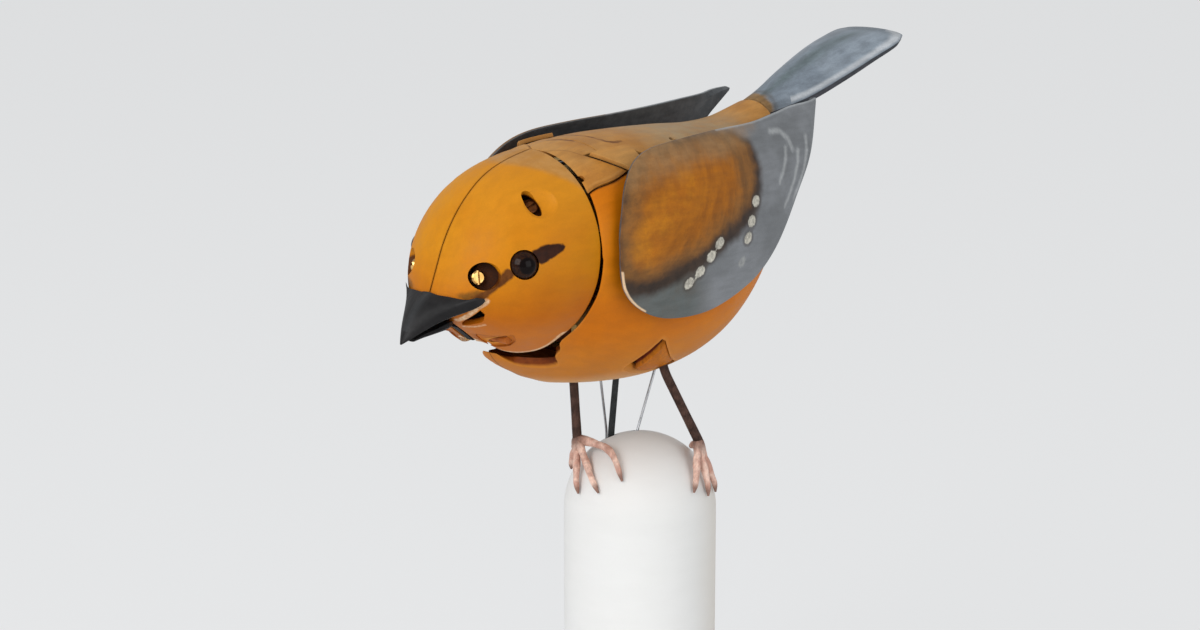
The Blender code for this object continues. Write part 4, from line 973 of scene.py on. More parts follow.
class MouthEdge:
    """Where the body's skin starts behind the head, clear of the head's turning rim."""

    throat = Run((
        (0.0, -63.5), (4.0, -61.6), (6.7, -55.4), (9.0, -50.6), (10.9, -47.2), (12.0, -47.6), (13.4, -50.4),
        (15.3, -50.3), (16.6, -51.9), (18.5, -50.8), (20.4, -49.0), (24.0, -46.6), (26.2, -45.6),
        (32.0, -45.6),
    ))

    # Clearance from the rim at rest, above the throat, and from the circle that it turns through.
    rest_gap = 0.27
    turning_gap = 0.25

    def __init__(self) -> None:
        """Works out the edge for each angle at a few insets."""
        self.turns = np.radians(steps(0.0, 180.0, 180))
        self.insets = steps(-1.0, 3.0, 8)
        places = np.arange(-66.0, -36.0, 0.05)
        found = []
        for inset in self.insets:
            y, turn = np.meshgrid(places, self.turns, indexing="ij")
            at = BODY_FORM.points(y, turn, inset)
            edge = np.where(np.cos(turn) > 0, RIM_Y + self.rest_gap, self.throat.one(np.abs(at[..., 0])))
            clear = np.hypot(at[..., 0], y - PIVOT_Y) > self.swept(at[..., 2]) + self.turning_gap
            found.append(places[np.argmax((y >= edge) & clear, axis=0)])
        self.found = np.array(found)

    @staticmethod
    def swept(z: np.ndarray) -> np.ndarray:
        """How far from its turning axis the head's rear rim reaches at a height."""
        middle, above, below, half, _ = (float(value[0]) for value in HEAD_FORM.parts(np.array([RIM_Y])))
        height = z - DOME - middle
        share = height / np.where(height > 0, above, below)
        across = half * np.sqrt(np.clip(1.0 - share * share, 0.0, None))
        return np.where(across > 0, np.hypot(across, HEAD_REACH), 0.0)

    def __call__(self, angle: np.ndarray, inset: float) -> np.ndarray:
        """Places along Y of the edge."""
        place = (inset - self.insets[0]) / (self.insets[1] - self.insets[0])
        low = int(min(max(place, 0), len(self.insets) - 2))
        part = place - low
        turned = np.abs(angle) % (2 * math.pi)
        turned = np.where(turned > math.pi, 2 * math.pi - turned, turned)
        first, second = (np.interp(turned, self.turns, self.found[index]) for index in (low, low + 1))
        return (1 - part) * first + part * second


Edge = Callable[[np.ndarray, float], np.ndarray]
Side = Callable[[np.ndarray], np.ndarray]


def panel(name: str, y_low: Edge, y_high: Edge, angle_low: Side, angle_high: Side, rows: int, columns: int,
          lift: float = 0.0, wall: float = SHELL_WALL) -> Piece:
    """A panel of the body's skin.

    Args:
        name: The piece's name.
        y_low: Front edge, from angle and inset.
        y_high: Rear edge, from angle and inset.
        angle_low: First side edge in degrees, from y.
        angle_high: Second side edge in degrees, from y.
        rows: Rows of faces along the body.
        columns: Columns of faces round it.
        lift: How far it stands above the skin.
        wall: Its thickness.

    Returns:
        The panel.
    """
    grids = []
    share = steps(0.0, 1.0, columns)[None, :]
    along = steps(0.0, 1.0, rows)[:, None]
    for inset in (-lift, wall - lift):
        y = np.full((rows + 1, columns + 1), -30.0)
        for _ in range(12):
            low, high = angle_low(y), angle_high(y)
            angle = np.radians(low + (high - low) * share)
            start, stop = y_low(angle, inset), y_high(angle, inset)
            y = start + (stop - start) * along
        low, high = angle_low(y), angle_high(y)
        grids.append(BODY_FORM.points(y, np.radians(low + (high - low) * share), inset))
    return skin(name, grids[0], grids[1])


@dataclass
class Head:
    """Head shell halves with their pockets, mouth corners and paint, and the glass eyes."""

    seam: float = 0.2
    front: float = -85.4
    front_wall: float = 1.9
    rear_tuck: float = 2.0
    sunk_eye: float = 1.2
    eye_centre: Point = (19.4, -69.0, 87.4)
    eye_radius: float = 4.3
    jaw_axis: Pair = (-68.4, 65.4)
    pin_end: float = 13.2
    crown_hole: Point = (16.7, -62.4, 103.1)
    crown_bowl: Point = (18.0, -60.6, 102.8)
    front_pocket: Pair = (-78.6, 71.5)
    pocket_tilt: float = 0.6
    mouth_corner: tuple[Point, ...] = (
        (5.4, -78.2, 70.2), (6.4, -79.3, 71.2), (8.4, -80.0, 72.3), (11.0, -80.1, 73.7),
        (13.6, -79.4, 75.7), (14.2, -78.2, 74.4), (12.6, -77.3, 71.9), (9.3, -77.9, 70.8),
        (6.8, -78.1, 70.3),
    )
    leaf: tuple[Point, ...] = (
        (6.0, -73.7, 66.9), (8.3, -72.6, 66.6), (12.2, -70.6, 66.9), (15.2, -68.9, 67.3),
        (14.9, -67.6, 65.8), (14.0, -66.8, 64.8), (12.1, -66.4, 63.6), (10.3, -66.9, 63.0),
        (7.6, -67.7, 62.5), (6.1, -68.6, 63.0), (5.0, -70.9, 64.6), (5.0, -72.6, 66.0),
    )
    front_stripe: tuple[Pair, ...] = (
        (-81.2, 79.4), (-79.2, 80.9), (-77.3, 83.1), (-74.4, 87.0), (-72.6, 86.0), (-73.6, 84.6),
        (-76.2, 82.3), (-78.4, 80.0), (-79.2, 78.4),
    )
    rear_stripe: tuple[Pair, ...] = (
        (-67.9, 91.2), (-65.4, 92.1), (-63.4, 92.6), (-59.0, 92.3), (-58.4, 91.5), (-59.3, 90.8),
        (-61.1, 90.0), (-65.8, 87.8), (-66.9, 88.6),
    )
    cream_lines: tuple[tuple[Point, ...], ...] = (
        ((5.6, -80.6, 71.7), (8.7, -80.8, 73.0), (12.9, -80.2, 76.1), (15.5, -78.7, 78.3)),
        ((5.0, -77.4, 69.4), (8.6, -76.9, 70.0), (12.2, -76.2, 71.0)),
    )
    tan_line: Run = Run((
        (0.0, -58.4), (6.1, -56.3), (12.8, -52.6), (15.9, -49.9), (18.7, -47.3), (21.4, -44.6),
        (27.0, -38.0),
    ))
    rim_run: Run = Run((
        (0.0, 0.0), (60.0, 0.0), (103.0, 0.0), (116.0, -1.0), (130.0, -3.2), (140.0, -6.4), (151.0, -9.0),
        (156.0, -14.0), (161.0, -19.0), (168.0, -23.2), (180.0, -24.0),
    ))

    def rim(self, angle: np.ndarray) -> np.ndarray:
        """Rear edge of the shell, as places along Y."""
        return RIM_Y + self.rim_run.one(np.abs(np.degrees(angle)))

    def shell(self) -> Piece:
        """The left half of the shell, with every opening cut."""
        angles = np.radians(np.concatenate([steps(0.0, 120.0, 50)[:-1], steps(120.0, 180.0, 40)]))[None, :]
        parts = (steps(0.0, 1.0, 62) ** 1.45)[:, None]
        grids = []
        for inset in (0.0, SHELL_WALL):
            start = self.front + (self.front_wall if inset else 0.0)
            tuck = np.where(np.abs(angles) < math.radians(130.0), self.rear_tuck if inset else 0.0, 0.0)
            y = start + (self.rim(angles) + tuck - start) * parts
            points = HEAD_FORM.points(y, angles, inset)
            points[..., 0] = np.maximum(self.seam, points[..., 0])
            grids.append(points)
        return carve(soften(skin("head_half_left", grids[0], grids[1]), 0.16), self.tools())

    def pocket(self) -> tuple[Vector, Vector]:
        """Middle of the forehead pocket on the left side, and the way it faces."""
        y, angle = self.front_pocket[0], math.radians(self.front_pocket[1])
        out = HEAD_FORM.normal(y, angle) + self.pocket_tilt * Vector(Studio.right)
        return Vector(HEAD_FORM.points(np.array(y), np.array(angle))), out.normalized()

    def tools(self) -> list[Piece]:
        """Cutters for the left half's pockets, eye socket, mouth corner, leaf, jaw bore and chin slot."""
        tools = []
        here, out = self.pocket()
        tools.append(tube("front_pocket", [here - out * 8.0, here + out * 4.0], 3.8, 40))
        bowl = Vector(self.crown_bowl) + Vector(DOME_UP)
        lift = HEAD_FORM.normal(bowl.y, math.atan2(bowl.x, bowl.z - DOME - HEAD_HEART))
        tools.append(ball("crown_dish", bowl + lift * 7.9, 9.3, 40))
        hole = Vector(self.crown_hole) + Vector(DOME_UP)
        along = Vector((0.62, 0.1, -0.75))
        along = (along - lift * along.dot(lift)).normalized()
        across = lift.cross(along)
        ring = np.array([along * 4.3 * math.cos(t) + across * 2.1 * math.sin(t) for t in round_turns(32)])
        ends = [np.array(hole - lift * 7.0), np.array(hole + lift * 3.0)]
        tools.append(loft("crown_cut", np.stack([end + ring for end in ends])))
        tools.append(ball("eye_socket", np.array(self.eye_centre) + DOME_UP, self.eye_radius + 0.35, 40))
        bore = [(x, self.jaw_axis[0], self.jaw_axis[1] + DOME) for x in (1.0, self.pin_end + 0.1)]
        tools.append(tube("jaw_bore", bore, 1.5, 24))
        tools.append(skin_tool("mouth_cut", self.mouth_corner, 6.0))
        tools.append(skin_tool("leaf_cut", self.leaf, 0.35))
        tools.append(block("chin_cut", (-0.6, -82.0, DOME + 60.0), (2.4, -69.0, DOME + 77.0)))
        return tools

    def fields(self) -> dict[str, Field]:
        """Paint fields of the head."""

        def flat(at: np.ndarray) -> np.ndarray:
            """Points seen from the side."""
            return at[:, 1:3]

        def near(at: np.ndarray) -> np.ndarray:
            """Points folded on to the left side."""
            return np.column_stack([np.abs(at[:, 0]), at[:, 1:]])

        def rim_gap(at: np.ndarray) -> np.ndarray:
            """Distance ahead of the rear rim."""
            middle = HEAD_FORM.parts(at[:, 1])[0]
            return self.rim(np.arctan2(np.abs(at[:, 0]), at[:, 2] - middle)) - at[:, 1]

        def cream(at: np.ndarray) -> np.ndarray:
            """Cream by the beak and on the chin's rim."""
            beside = line_distance(near(at), self.cream_lines[0]) - 0.75
            lip = line_distance(near(at), self.cream_lines[1]) - 0.35
            chin = np.where(at[:, 2] < 66.0, rim_gap(at) - 1.3, AWAY)
            return np.minimum(np.minimum(beside, lip), chin)

        leaf = [(y, z) for _, y, z in self.leaf]
        return {
            # Inner faces deeper than 1.9 mm and clear of the rim take the dark inside coat, partly stain and
            # partly painted shade.
            "inside": lambda at: np.maximum(1.9 - HEAD_FORM.depth(at), 1.2 - rim_gap(at)),
            # Lower face darker: partly paint tone, partly painted shade.
            "low_face": lambda at: at[:, 2] - 70.0,
            "smear": lambda at: line_distance(flat(at), ((-82.0, 79.4), (-80.4, 80.4))) - 0.9,
            "tan": lambda at: np.maximum(self.tan_line.one(np.abs(at[:, 0])) - at[:, 1], 99.0 - at[:, 2]),
            "lore": lambda at: outline_distance(flat(at), self.front_stripe),
            "stripe": lambda at: outline_distance(flat(at), self.rear_stripe),
            "leaf": lambda at: outline_distance(flat(at), leaf) + 0.5,
            # Painted shade along the leaf recess's outline.
            "leaf_line": lambda at: np.abs(outline_distance(flat(at), leaf)),
            "cream": cream,
            # Painted highlight on the cut face of the rear rim.
            "raw_edge": lambda at: np.maximum(rim_gap(at) - 0.2, 0.25 - HEAD_FORM.depth(at)),
            "seam": lambda at: np.abs(at[:, 0]),
            # Cheeks darker low down and crown lighter on top: partly paint tone, partly painted shade and
            # light.
            "cheek": lambda at: at[:, 2] - 80.0,
            "brow": lambda at: 104.0 - at[:, 2] - 0.25 * np.abs(at[:, 0]),
        }

    def build(self) -> None:
        """Makes and dresses the shell halves and the eyes."""
        left = self.shell()
        shells = {"left": left, "right": reflected(left, "head_half_right")}
        for word, side in SIDES:
            shell = shells[word]
            mark(shell, self.fields())
            dress(shell, HEAD_PAINT, Body.HEAD, Slot.OCHRE, f"head_shell_{word}")
            centre = mirrored([self.eye_centre], side)[0]
            centre[0] += 0.0 if side > 0 else self.sunk_eye
            eye = ball(f"glass_eye_{word}", centre + DOME_UP, self.eye_radius)
            gaze = np.array([side * 0.9, -0.4, 0.1])
            gaze /= np.linalg.norm(gaze)
            mark(eye, {
                "pupil": lambda at, c=centre, g=gaze: np.linalg.norm(np.cross(at - c, g), axis=1) - 2.3})
            dress(eye, EYE, Body.HEAD, Slot.EYE_GLASS, f"eye_{word}")


@dataclass
class Beak:
    """The upper beak, a cap that fits round the head's front and tapers to its tip."""

    tip: Point = (0.0, -96.4, 66.6)
    front: float = -85.5
    lift: float = 0.55
    forward: float = 0.35
    base: Run = Run((
        (0.0, -85.25), (35.0, -85.15), (59.0, -84.8), (74.0, -83.9), (86.0, -81.9), (95.0, -79.1),
        (105.0, -80.1), (113.0, -81.6), (131.0, -82.7), (157.0, -83.0), (180.0, -83.2),
    ))

    def ring(self, part: float, turns: np.ndarray) -> np.ndarray:
        """One ring of the beak's skin; below 0 it lies against the head's front."""
        root_y = self.base.one(np.abs(np.degrees(turns)))
        if part < 0:
            y = self.front + (root_y - self.front) * (1.0 + part)
            points = HEAD_FORM.points(y, turns, -self.lift - 0.25)
            points[:, 1] -= self.forward + 0.1
            return points
        root = HEAD_FORM.points(root_y, turns, -self.lift)
        root[:, 1] -= self.forward
        points = root + (np.array(self.tip) + DOME_UP - root) * part
        swell = math.sin(math.pi * part)
        upper = np.clip((100.0 - np.abs(np.degrees(turns))) / 18.0, 0.0, 1.0)
        points[:, 2] += swell * (0.3 + 1.4 * upper)
        points[:, 1] -= swell * 0.6
        points[:, 0] *= 1.0 - 0.16 * swell
        return points

    def build(self) -> None:
        """Makes and dresses the upper beak."""
        turns = np.radians(steps(-180.0, 180.0, 96)[:-1])
        parts = [-0.8, -0.4, *steps(0.0, 0.97, 26)]
        beak = loft("beak_cap", np.array([self.ring(part, turns) for part in parts]), 55.0)
        # Painted highlight along the beak's top middle line.
        mark(beak, {"ridge": lambda at: np.abs(at[:, 0]) - 0.8 + np.where(at[:, 2] > 70.0, 0.0, 3.0)})
        dress(beak, BEAK_PAINT, Body.HEAD, Slot.BEAK_BLACK, "upper_beak")


@dataclass
class Trunk:
    """Breast shell, nape plates, shoulder plates, mantle and rump cover."""

    mouth: MouthEdge
    nape_start: float = 0.5
    cover_front: float = -31.2
    shoulder_start: float = 25.5
    shoulder_end: float = 41.5
    mantle_half: float = 22.5
    shoulder_back: float = -21.8
    shell_run: Run = Run((
        (-47.0, 50.0), (-43.2, 48.7), (-35.3, 46.7), (-29.4, 42.8), (-26.0, 43.0), (-20.0, 56.0),
        (-14.0, 62.0), (20.0, 62.0), (40.0, 64.0), (50.0, 70.0),
    ))
    nape_edge: Run = Run((
        (8.0, -42.0), (14.5, -39.6), (25.0, -37.2), (34.0, -33.4), (41.0, -29.4), (50.0, -25.0),
    ))
    nape_side: Run = Run(((-47.0, 48.4), (-43.2, 47.0), (-35.3, 45.0), (-29.4, 41.0), (-24.0, 36.0)))
    rump_side: Run = Run((
        (-32.0, 22.0), (-26.0, 22.5), (-21.5, 24.0), (-17.5, 29.5), (-14.0, 31.0), (10.0, 31.0),
        (30.0, 48.0), (50.0, 62.0),
    ))
    nape_hole: Point = (17.4, -44.1, 106.9)
    rump_hole: Point = (12.1, -0.2, 112.7)
    grooves: tuple[tuple[Point, ...], ...] = (
        ((12.1, -0.2, 112.7), (13.3, 1.0, 112.1), (14.6, 3.0, 111.3)),
        ((-3.9, -34.9, 114.5), (-0.9, -33.6, 114.9), (3.4, -32.3, 114.9)),
        ((7.9, -24.4, 114.5), (9.8, -22.6, 114.1), (9.6, -19.4, 114.1)),
        ((8.6, -24.0, 114.4), (10.0, -21.2, 114.0)),
        ((-6.0, -27.0, 115.0), (2.0, -25.5, 115.2), (7.9, -24.4, 114.5)),
    )
    opening: tuple[Pair, ...] = (
        (-2.0, 2.4), (0.4, 3.2), (2.6, 2.4), (6.5, -4.0), (9.4, -8.4), (11.6, -12.0), (11.9, -13.8),
        (10.6, -15.4), (7.6, -18.4), (5.0, -20.6), (3.6, -21.0), (2.6, -19.8), (0.2, -11.0), (-2.2, -3.0),
    )

    @staticmethod
    def drill(plate: Piece, place: Point, side: int, radius: float) -> None:
        """A round hole through a plate, at a place on the skin."""
        x, y, z = (float(value) for value in mirrored([place], side)[0])
        here = Vector((x, y, z + DOME))
        out = BODY_FORM.normal(y, math.atan2(x, z - BODY_HEART))
        carve(plate, [tube("drill", [here - out * 4.0, here + out * 3.0], radius, 20)])

    def nape(self, angle: np.ndarray, inset: float) -> np.ndarray:
        """Rear edge of the nape plates."""
        return self.nape_edge.one(np.abs(np.degrees(angle)))

    def mantle(self, angle: np.ndarray, inset: float) -> np.ndarray:
        """Front edge of the mantle."""
        return self.nape(angle, inset) + 0.45

    def breast(self) -> Piece:
        """Breast and belly shell with the rod hatch and the leg openings."""
        shell = panel("breast_shell", self.mouth, constant(47.0), self.shell_run.one,
                      lambda y: 360.0 - self.shell_run.one(y), 84, 128)
        soften(shell, 0.2)
        tools = [plan_loft("hatch_tool", oval((-5.6, 1.9), (5.6, 17.4), 40), 36.0, 54.0)]
        for (word, _), ring in zip(SIDES, self.openings()):
            tools.append(plan_loft(f"leg_tool_{word}", ring, 36.0, 66.0))
        return carve(shell, tools)

    def openings(self) -> list[np.ndarray]:
        """Plan outlines of the left and the right leg opening."""
        return [np.array([(hip[0] + side * dx, hip[1] + dy) for dx, dy in self.opening])
                for (_, side), hip in zip(SIDES, HIPS)]

    def opening_gap(self, at: np.ndarray) -> np.ndarray:
        """Distance from the nearest leg opening, seen from below."""
        found = [np.abs(outline_distance(at[:, :2], ring)) for ring in self.openings()]
        return np.where(at[:, 2] < 62.0, np.minimum(*found), AWAY)

    def angle_of(self, at: np.ndarray) -> np.ndarray:
        """Angle of body points from straight up, in degrees."""
        middle, above, _, half, _ = BODY_FORM.parts(at[:, 1])
        power = BODY_FORM.top_power / 2.0
        across = (np.abs(at[:, 0]) / half) ** power
        return np.degrees(np.arctan2(across, np.clip((at[:, 2] - middle) / above, 0.001, None) ** power))

    def nape_fields(self) -> dict[str, Field]:
        """Paint fields of the nape plates: a pale rim along the lower edge and thin dark edges."""

        def rear(at: np.ndarray) -> np.ndarray:
            """Distance ahead of the rear edge."""
            return self.nape_edge.one(self.angle_of(at)) - at[:, 1]

        def side_gap(at: np.ndarray) -> np.ndarray:
            """Distance inside the lower edge."""
            return (self.nape_side.one(at[:, 1]) - self.angle_of(at)) * math.radians(1.0) * 28.0

        def front(at: np.ndarray) -> np.ndarray:
            """Distance behind the head's rim."""
            return at[:, 1] - self.mouth(np.radians(self.angle_of(at)), 0.0)

        return {
            "inside": lambda at: 1.2 - BODY_FORM.depth(at),
            "groove": plain(AWAY),
            "grey_wash": plain(AWAY),
            "ochre_wash": lambda at: self.angle_of(at) * -0.5 + 16.0,
            "edge_line": lambda at: np.minimum(np.abs(rear(at)), np.abs(side_gap(at))),
            "pale_rim": lambda at: np.maximum(np.abs(side_gap(at) - 0.9) - 0.15, 0.5 - front(at)),
        }

    def plain_fields(self, wash: float) -> dict[str, Field]:
        """Paint fields of a plate with a soft ochre wash low down."""
        return {
            # Inner faces deeper than 1.4 mm take the dark inside coat, partly stain and partly painted shade.
            "inside": lambda at: 1.4 - BODY_FORM.depth(at),
            "groove": lambda at: np.min([line_distance(at, line) for line in self.grooves], axis=0) - 0.45,
            "grey_wash": lambda at: np.abs(at[:, 1] - 14.0) - 22.0,
            "ochre_wash": lambda at: wash - self.angle_of(at) * 0.5 + np.clip(at[:, 1] - 5.0, 0.0, 40.0),
            "edge_line": plain(5.0),
            "pale_rim": plain(5.0),
        }

    def build(self) -> None:
        """Makes and dresses the five kinds of shell."""
        shell = self.breast()
        mark(shell, {
            # Painted shade: from 0.5 mm deep at the throat and 2 mm deep elsewhere, the breast shell takes
            # the dark inside coat.
            "inside": lambda at: (
                np.where((at[:, 1] < -46.0) & (at[:, 2] < 64.0), 0.5, 2.0) - BODY_FORM.depth(at)),
            "low": lambda at: at[:, 2] - 58.0 - 0.1 * np.clip(at[:, 1], 0.0, 60.0),
            "belly_edge": lambda at: at[:, 2] - 46.5 - 0.25 * np.clip(at[:, 1] - 5.0, 0.0, 60.0),
            "edge_line": lambda at: (self.angle_of(at) - self.shell_run.one(at[:, 1])) * 0.5,
            # Painted highlight on the cut face of the front edge above the throat.
            "raw_edge": lambda at: np.where(
                at[:, 2] > 64.0, np.maximum(at[:, 1] + 45.2, 0.25 - BODY_FORM.depth(at)), AWAY),
            "pale_rim": lambda at: np.minimum(
                self.opening_gap(at) - 0.6,
                np.where(at[:, 2] < 70.0, at[:, 1] - self.mouth.throat.one(np.abs(at[:, 0])) - 0.5, AWAY)),
        })
        dress(shell, BREAST_PAINT, Body.STAND, Slot.OCHRE, "belly_shell")
        left = panel("nape_flap_left", self.mouth, self.nape, constant(self.nape_start),
                     lambda y: self.nape_side.one(y) + 0.8, 30, 60, 0.6, 1.5)
        soften(left, 0.2)
        self.drill(left, self.nape_hole, 1, 1.15)
        flaps = {"left": left, "right": reflected(left, "nape_flap_right")}
        for word, side in SIDES:
            mark(flaps[word], self.nape_fields())
            dress(flaps[word], BACK_PAINT, Body.STAND, Slot.TAN, f"nape_plate_{word}")
            plate = panel(f"shoulder_flap_{word}", lambda angle, inset: self.nape(angle, inset) + 0.5,
                          constant(self.shoulder_back), constant(side * self.shoulder_start),
                          constant(side * self.shoulder_end), 26, 26, 1.9, 1.3)
            soften(plate, 0.55, 3)
            mark(plate, self.plain_fields(30.0))
            dress(plate, BACK_PAINT, Body.STAND, Slot.TAN, f"shoulder_plate_{word}")
        plate = panel("mantle_cap", self.mantle, constant(self.cover_front - 0.5),
                      constant(-self.mantle_half), constant(self.mantle_half), 20, 50, 0.2, 2.0)
        soften(plate, 0.3)
        mark(plate, self.plain_fields(14.0))
        dress(plate, BACK_PAINT, Body.STAND, Slot.TAN, "mantle_plate")
        cover = panel("rump_shell", constant(self.cover_front), constant(49.5),
                      lambda y: -self.rump_side.one(y), self.rump_side.one, 80, 60)
        soften(cover, 0.3)
        for _, side in SIDES:
            self.drill(cover, self.rump_hole, side, 0.95)
        mark(cover, self.plain_fields(18.0))
        dress(cover, BACK_PAINT, Body.STAND, Slot.TAN, "rump_cover")


@dataclass
class Wings:
    """Two curved wing shells with their painted shoulder patch, spots and strokes."""

    wall: float = 2.2
    edge_wall: float = 0.9
    low: tuple[Pair, ...] = (
        (-43.0, 85.0), (-41.5, 77.6), (-35.6, 71.5), (-25.0, 67.2), (-8.0, 66.6), (8.0, 70.8), (20.0, 76.6),
        (33.0, 86.6), (42.0, 95.6), (50.5, 105.5), (58.2, 117.8),
    )
    high: tuple[Pair, ...] = (
        (-42.5, 92.0), (-40.0, 99.5), (-36.5, 106.0), (-30.5, 111.3), (-22.0, 114.0), (-8.0, 115.0),
        (8.0, 115.5), (24.0, 115.9), (36.0, 116.9), (47.0, 118.0), (58.4, 119.0),
    )
    form: Run = Run((
        (-44.0, 31.8, 82.0, 44.0), (-25.0, 34.8, 82.0, 43.5), (-8.0, 35.4, 82.0, 43.0),
        (10.0, 34.2, 83.0, 41.7), (24.0, 31.5, 86.0, 41.0), (38.0, 27.0, 92.0, 36.5),
        (49.0, 23.8, 102.0, 25.5), (59.0, 18.0, 115.0, 25.0),
    ))
    patch: tuple[Pair, ...] = (
        (-30.5, 113.0), (-20.8, 113.8), (-12.4, 113.9), (3.4, 114.0), (13.6, 112.9), (17.5, 110.0),
        (17.2, 105.0), (14.7, 100.2), (10.4, 95.1), (2.8, 91.5), (-3.6, 89.0), (-10.4, 86.0), (-16.2, 83.8),
        (-23.6, 82.2), (-28.4, 80.7), (-33.4, 79.6), (-39.5, 80.0), (-43.4, 82.4), (-42.6, 92.7),
        (-40.2, 99.4), (-36.5, 106.5),
    )
    core: tuple[Pair, ...] = (
        (-25.5, 110.0), (-13.0, 110.4), (0.2, 110.4), (7.5, 108.0), (8.4, 103.2), (5.7, 98.0), (-1.7, 94.0),
        (-11.6, 89.6), (-22.2, 86.0), (-31.6, 84.2), (-36.8, 85.2), (-37.4, 91.4), (-33.6, 101.6),
    )
    glow_line: tuple[Pair, ...] = ((-35.0, 87.5), (-31.0, 92.0), (-26.1, 96.7), (-19.2, 99.9), (-12.6, 103.8))
    spots: tuple[Pair, ...] = (
        (-5.6, 86.1), (-9.6, 82.9), (-14.2, 79.2), (-18.4, 76.5), (13.6, 95.2), (10.2, 90.0), (7.8, 85.5),
    )
    faint: tuple[Pair, ...] = ((4.9, 79.0),)
    arc_centre: Pair = (-50.0, 124.0)
    strokes: tuple[tuple[Pair, ...], ...] = (
        ((35.7, 107.2), (34.6, 104.6), (32.2, 101.6), (28.3, 98.6)),
        ((42.0, 105.6), (40.8, 101.8), (38.0, 97.8), (34.0, 93.8), (29.9, 91.0)),
        ((47.4, 109.0), (46.6, 104.6), (44.2, 99.8), (40.6, 95.4), (37.0, 92.2)),
        ((30.2, 112.6), (35.0, 112.2), (38.4, 109.4), (39.4, 106.0)),
    )

    def skin_points(self, rows: np.ndarray, shares: np.ndarray, inset: np.ndarray) -> np.ndarray:
        """Points of the left wing; rows run from shoulder to tip and shares from low edge to high edge."""
        count = len(self.low) - 1
        low, high = indexed(self.low)(rows * count), indexed(self.high)(rows * count)
        flat = low + (high - low) * shares[..., None]
        y, z = flat[..., 0], flat[..., 1]
        half, widest, round_z = np.moveaxis(self.form(y), -1, 0)
        bulge = np.sqrt(np.clip(1.0 - ((z - widest) / round_z) ** 2, 0.05, None))
        slope = np.clip((z - widest) / round_z, 0.0, None)
        return np.stack([half * bulge - inset, y, DOME + z - inset * 0.35 * slope], -1)

    def blank(self, word: str, side: int) -> Piece:
        """One wing shell with thinned edges."""
        rows, shares = np.meshgrid(steps(0.0, 1.0, 120), steps(0.0, 1.0, 60), indexing="ij")
        edge = np.minimum(np.minimum(shares, 1.0 - shares), rows * 1.2) * 6.0
        wall = self.edge_wall + (self.wall - self.edge_wall) * np.minimum(1.0, edge)
        grids = [self.skin_points(rows, shares, wall * layer) for layer in (0.0, 1.0)]
        for grid in grids:
            grid[..., 0] *= side
        return soften(skin(f"wing_shell_{word}", grids[0], grids[1]), 0.22)

    def outer_x(self, at: np.ndarray) -> np.ndarray:
        """Distance from the middle of the outer face at a point's y and height."""
        half, widest, round_z = np.moveaxis(self.form(at[:, 1]), -1, 0)
        return half * np.sqrt(np.clip(1.0 - ((at[:, 2] - widest) / round_z) ** 2, 0.05, None))

    def fields(self) -> dict[str, Field]:
        """Paint fields of a wing, seen from its side."""

        def dots(at: np.ndarray, centres: Sequence[Pair], long: float, short: float) -> np.ndarray:
            """Distance from slanted oval dabs."""
            found = np.full(len(at), 1e9)
            for y, z in centres:
                dy, dz = at[:, 1] - y, at[:, 2] - z
                along, across = dy * 0.9 + dz * 0.43, dz * 0.9 - dy * 0.43
                found = np.minimum(found, (np.hypot(along / long, across / short) - 1.0) * short)
            return found

        def strokes(at: np.ndarray) -> np.ndarray:
            """Distance from the long pale strokes."""
            return np.min([line_distance(at[:, 1:], line) for line in self.strokes], axis=0) - 0.7

        def edge(points: tuple[Pair, ...], first: float, last: float) -> list[list[float]]:
            """Part of an edge as a fine line."""
            return indexed(points)(steps(first, last, 60)).tolist()

        front = edge(self.low, 0.3, 2.2)
        ridge = edge(self.high, 6.0, 10.0)
        centre = np.array(self.arc_centre)
        return {
            "inside": lambda at: 0.55 - (self.outer_x(at) - np.abs(at[:, 0])),
            "patch": lambda at: outline_distance(at[:, 1:], self.patch),
            "halo": lambda at: (
                outline_distance(at[:, 1:], self.patch) - 4.6 + 0.14 * np.clip(at[:, 2] - 90, 0, 20)),
            "patch_core": lambda at: outline_distance(at[:, 1:], self.core),
            "glow": lambda at: line_distance(at[:, 1:], self.glow_line) - 4.0,
            "front": lambda at: at[:, 1] + 14.0 + 0.4 * (at[:, 2] - 76.0),
            "spots": lambda at: dots(at, self.spots, 2.0, 1.55),
            "spot_ring": lambda at: dots(at, self.spots, 2.8, 2.3),
            "faint_spots": lambda at: dots(at, self.faint, 1.9, 1.5),
            "strokes": lambda at: strokes(at) + 0.012 * np.clip(108.0 - at[:, 2], 0, 30),
            # Painted sky reflection on the upper front of the wing.
            "sky": lambda at: (
                107.5 - at[:, 2] + 0.12 * (at[:, 1] + 10.0) + 0.5 * np.clip(at[:, 1] - 15.0, 0.0, 40.0)),
            "pale_edge": lambda at: line_distance(at[:, 1:], ridge) - 0.35,
            "cream_edge": lambda at: line_distance(at[:, 1:], front) - 0.4,
            "arc_distance": lambda at: np.linalg.norm(at[:, 1:] - centre, axis=1),
            "arc_turn": lambda at: np.arctan2(at[:, 2] - centre[1], at[:, 1] - centre[0]),
        }

    def build(self) -> None:
        """Makes and dresses both wings."""
        for (word, side), body in zip(SIDES, (Body.LEFT_WING, Body.RIGHT_WING)):
            wing = self.blank(word, side)
            mark(wing, self.fields())
            dress(wing, WING_PAINT, body, Slot.WING_GREY, f"wing_{word}")


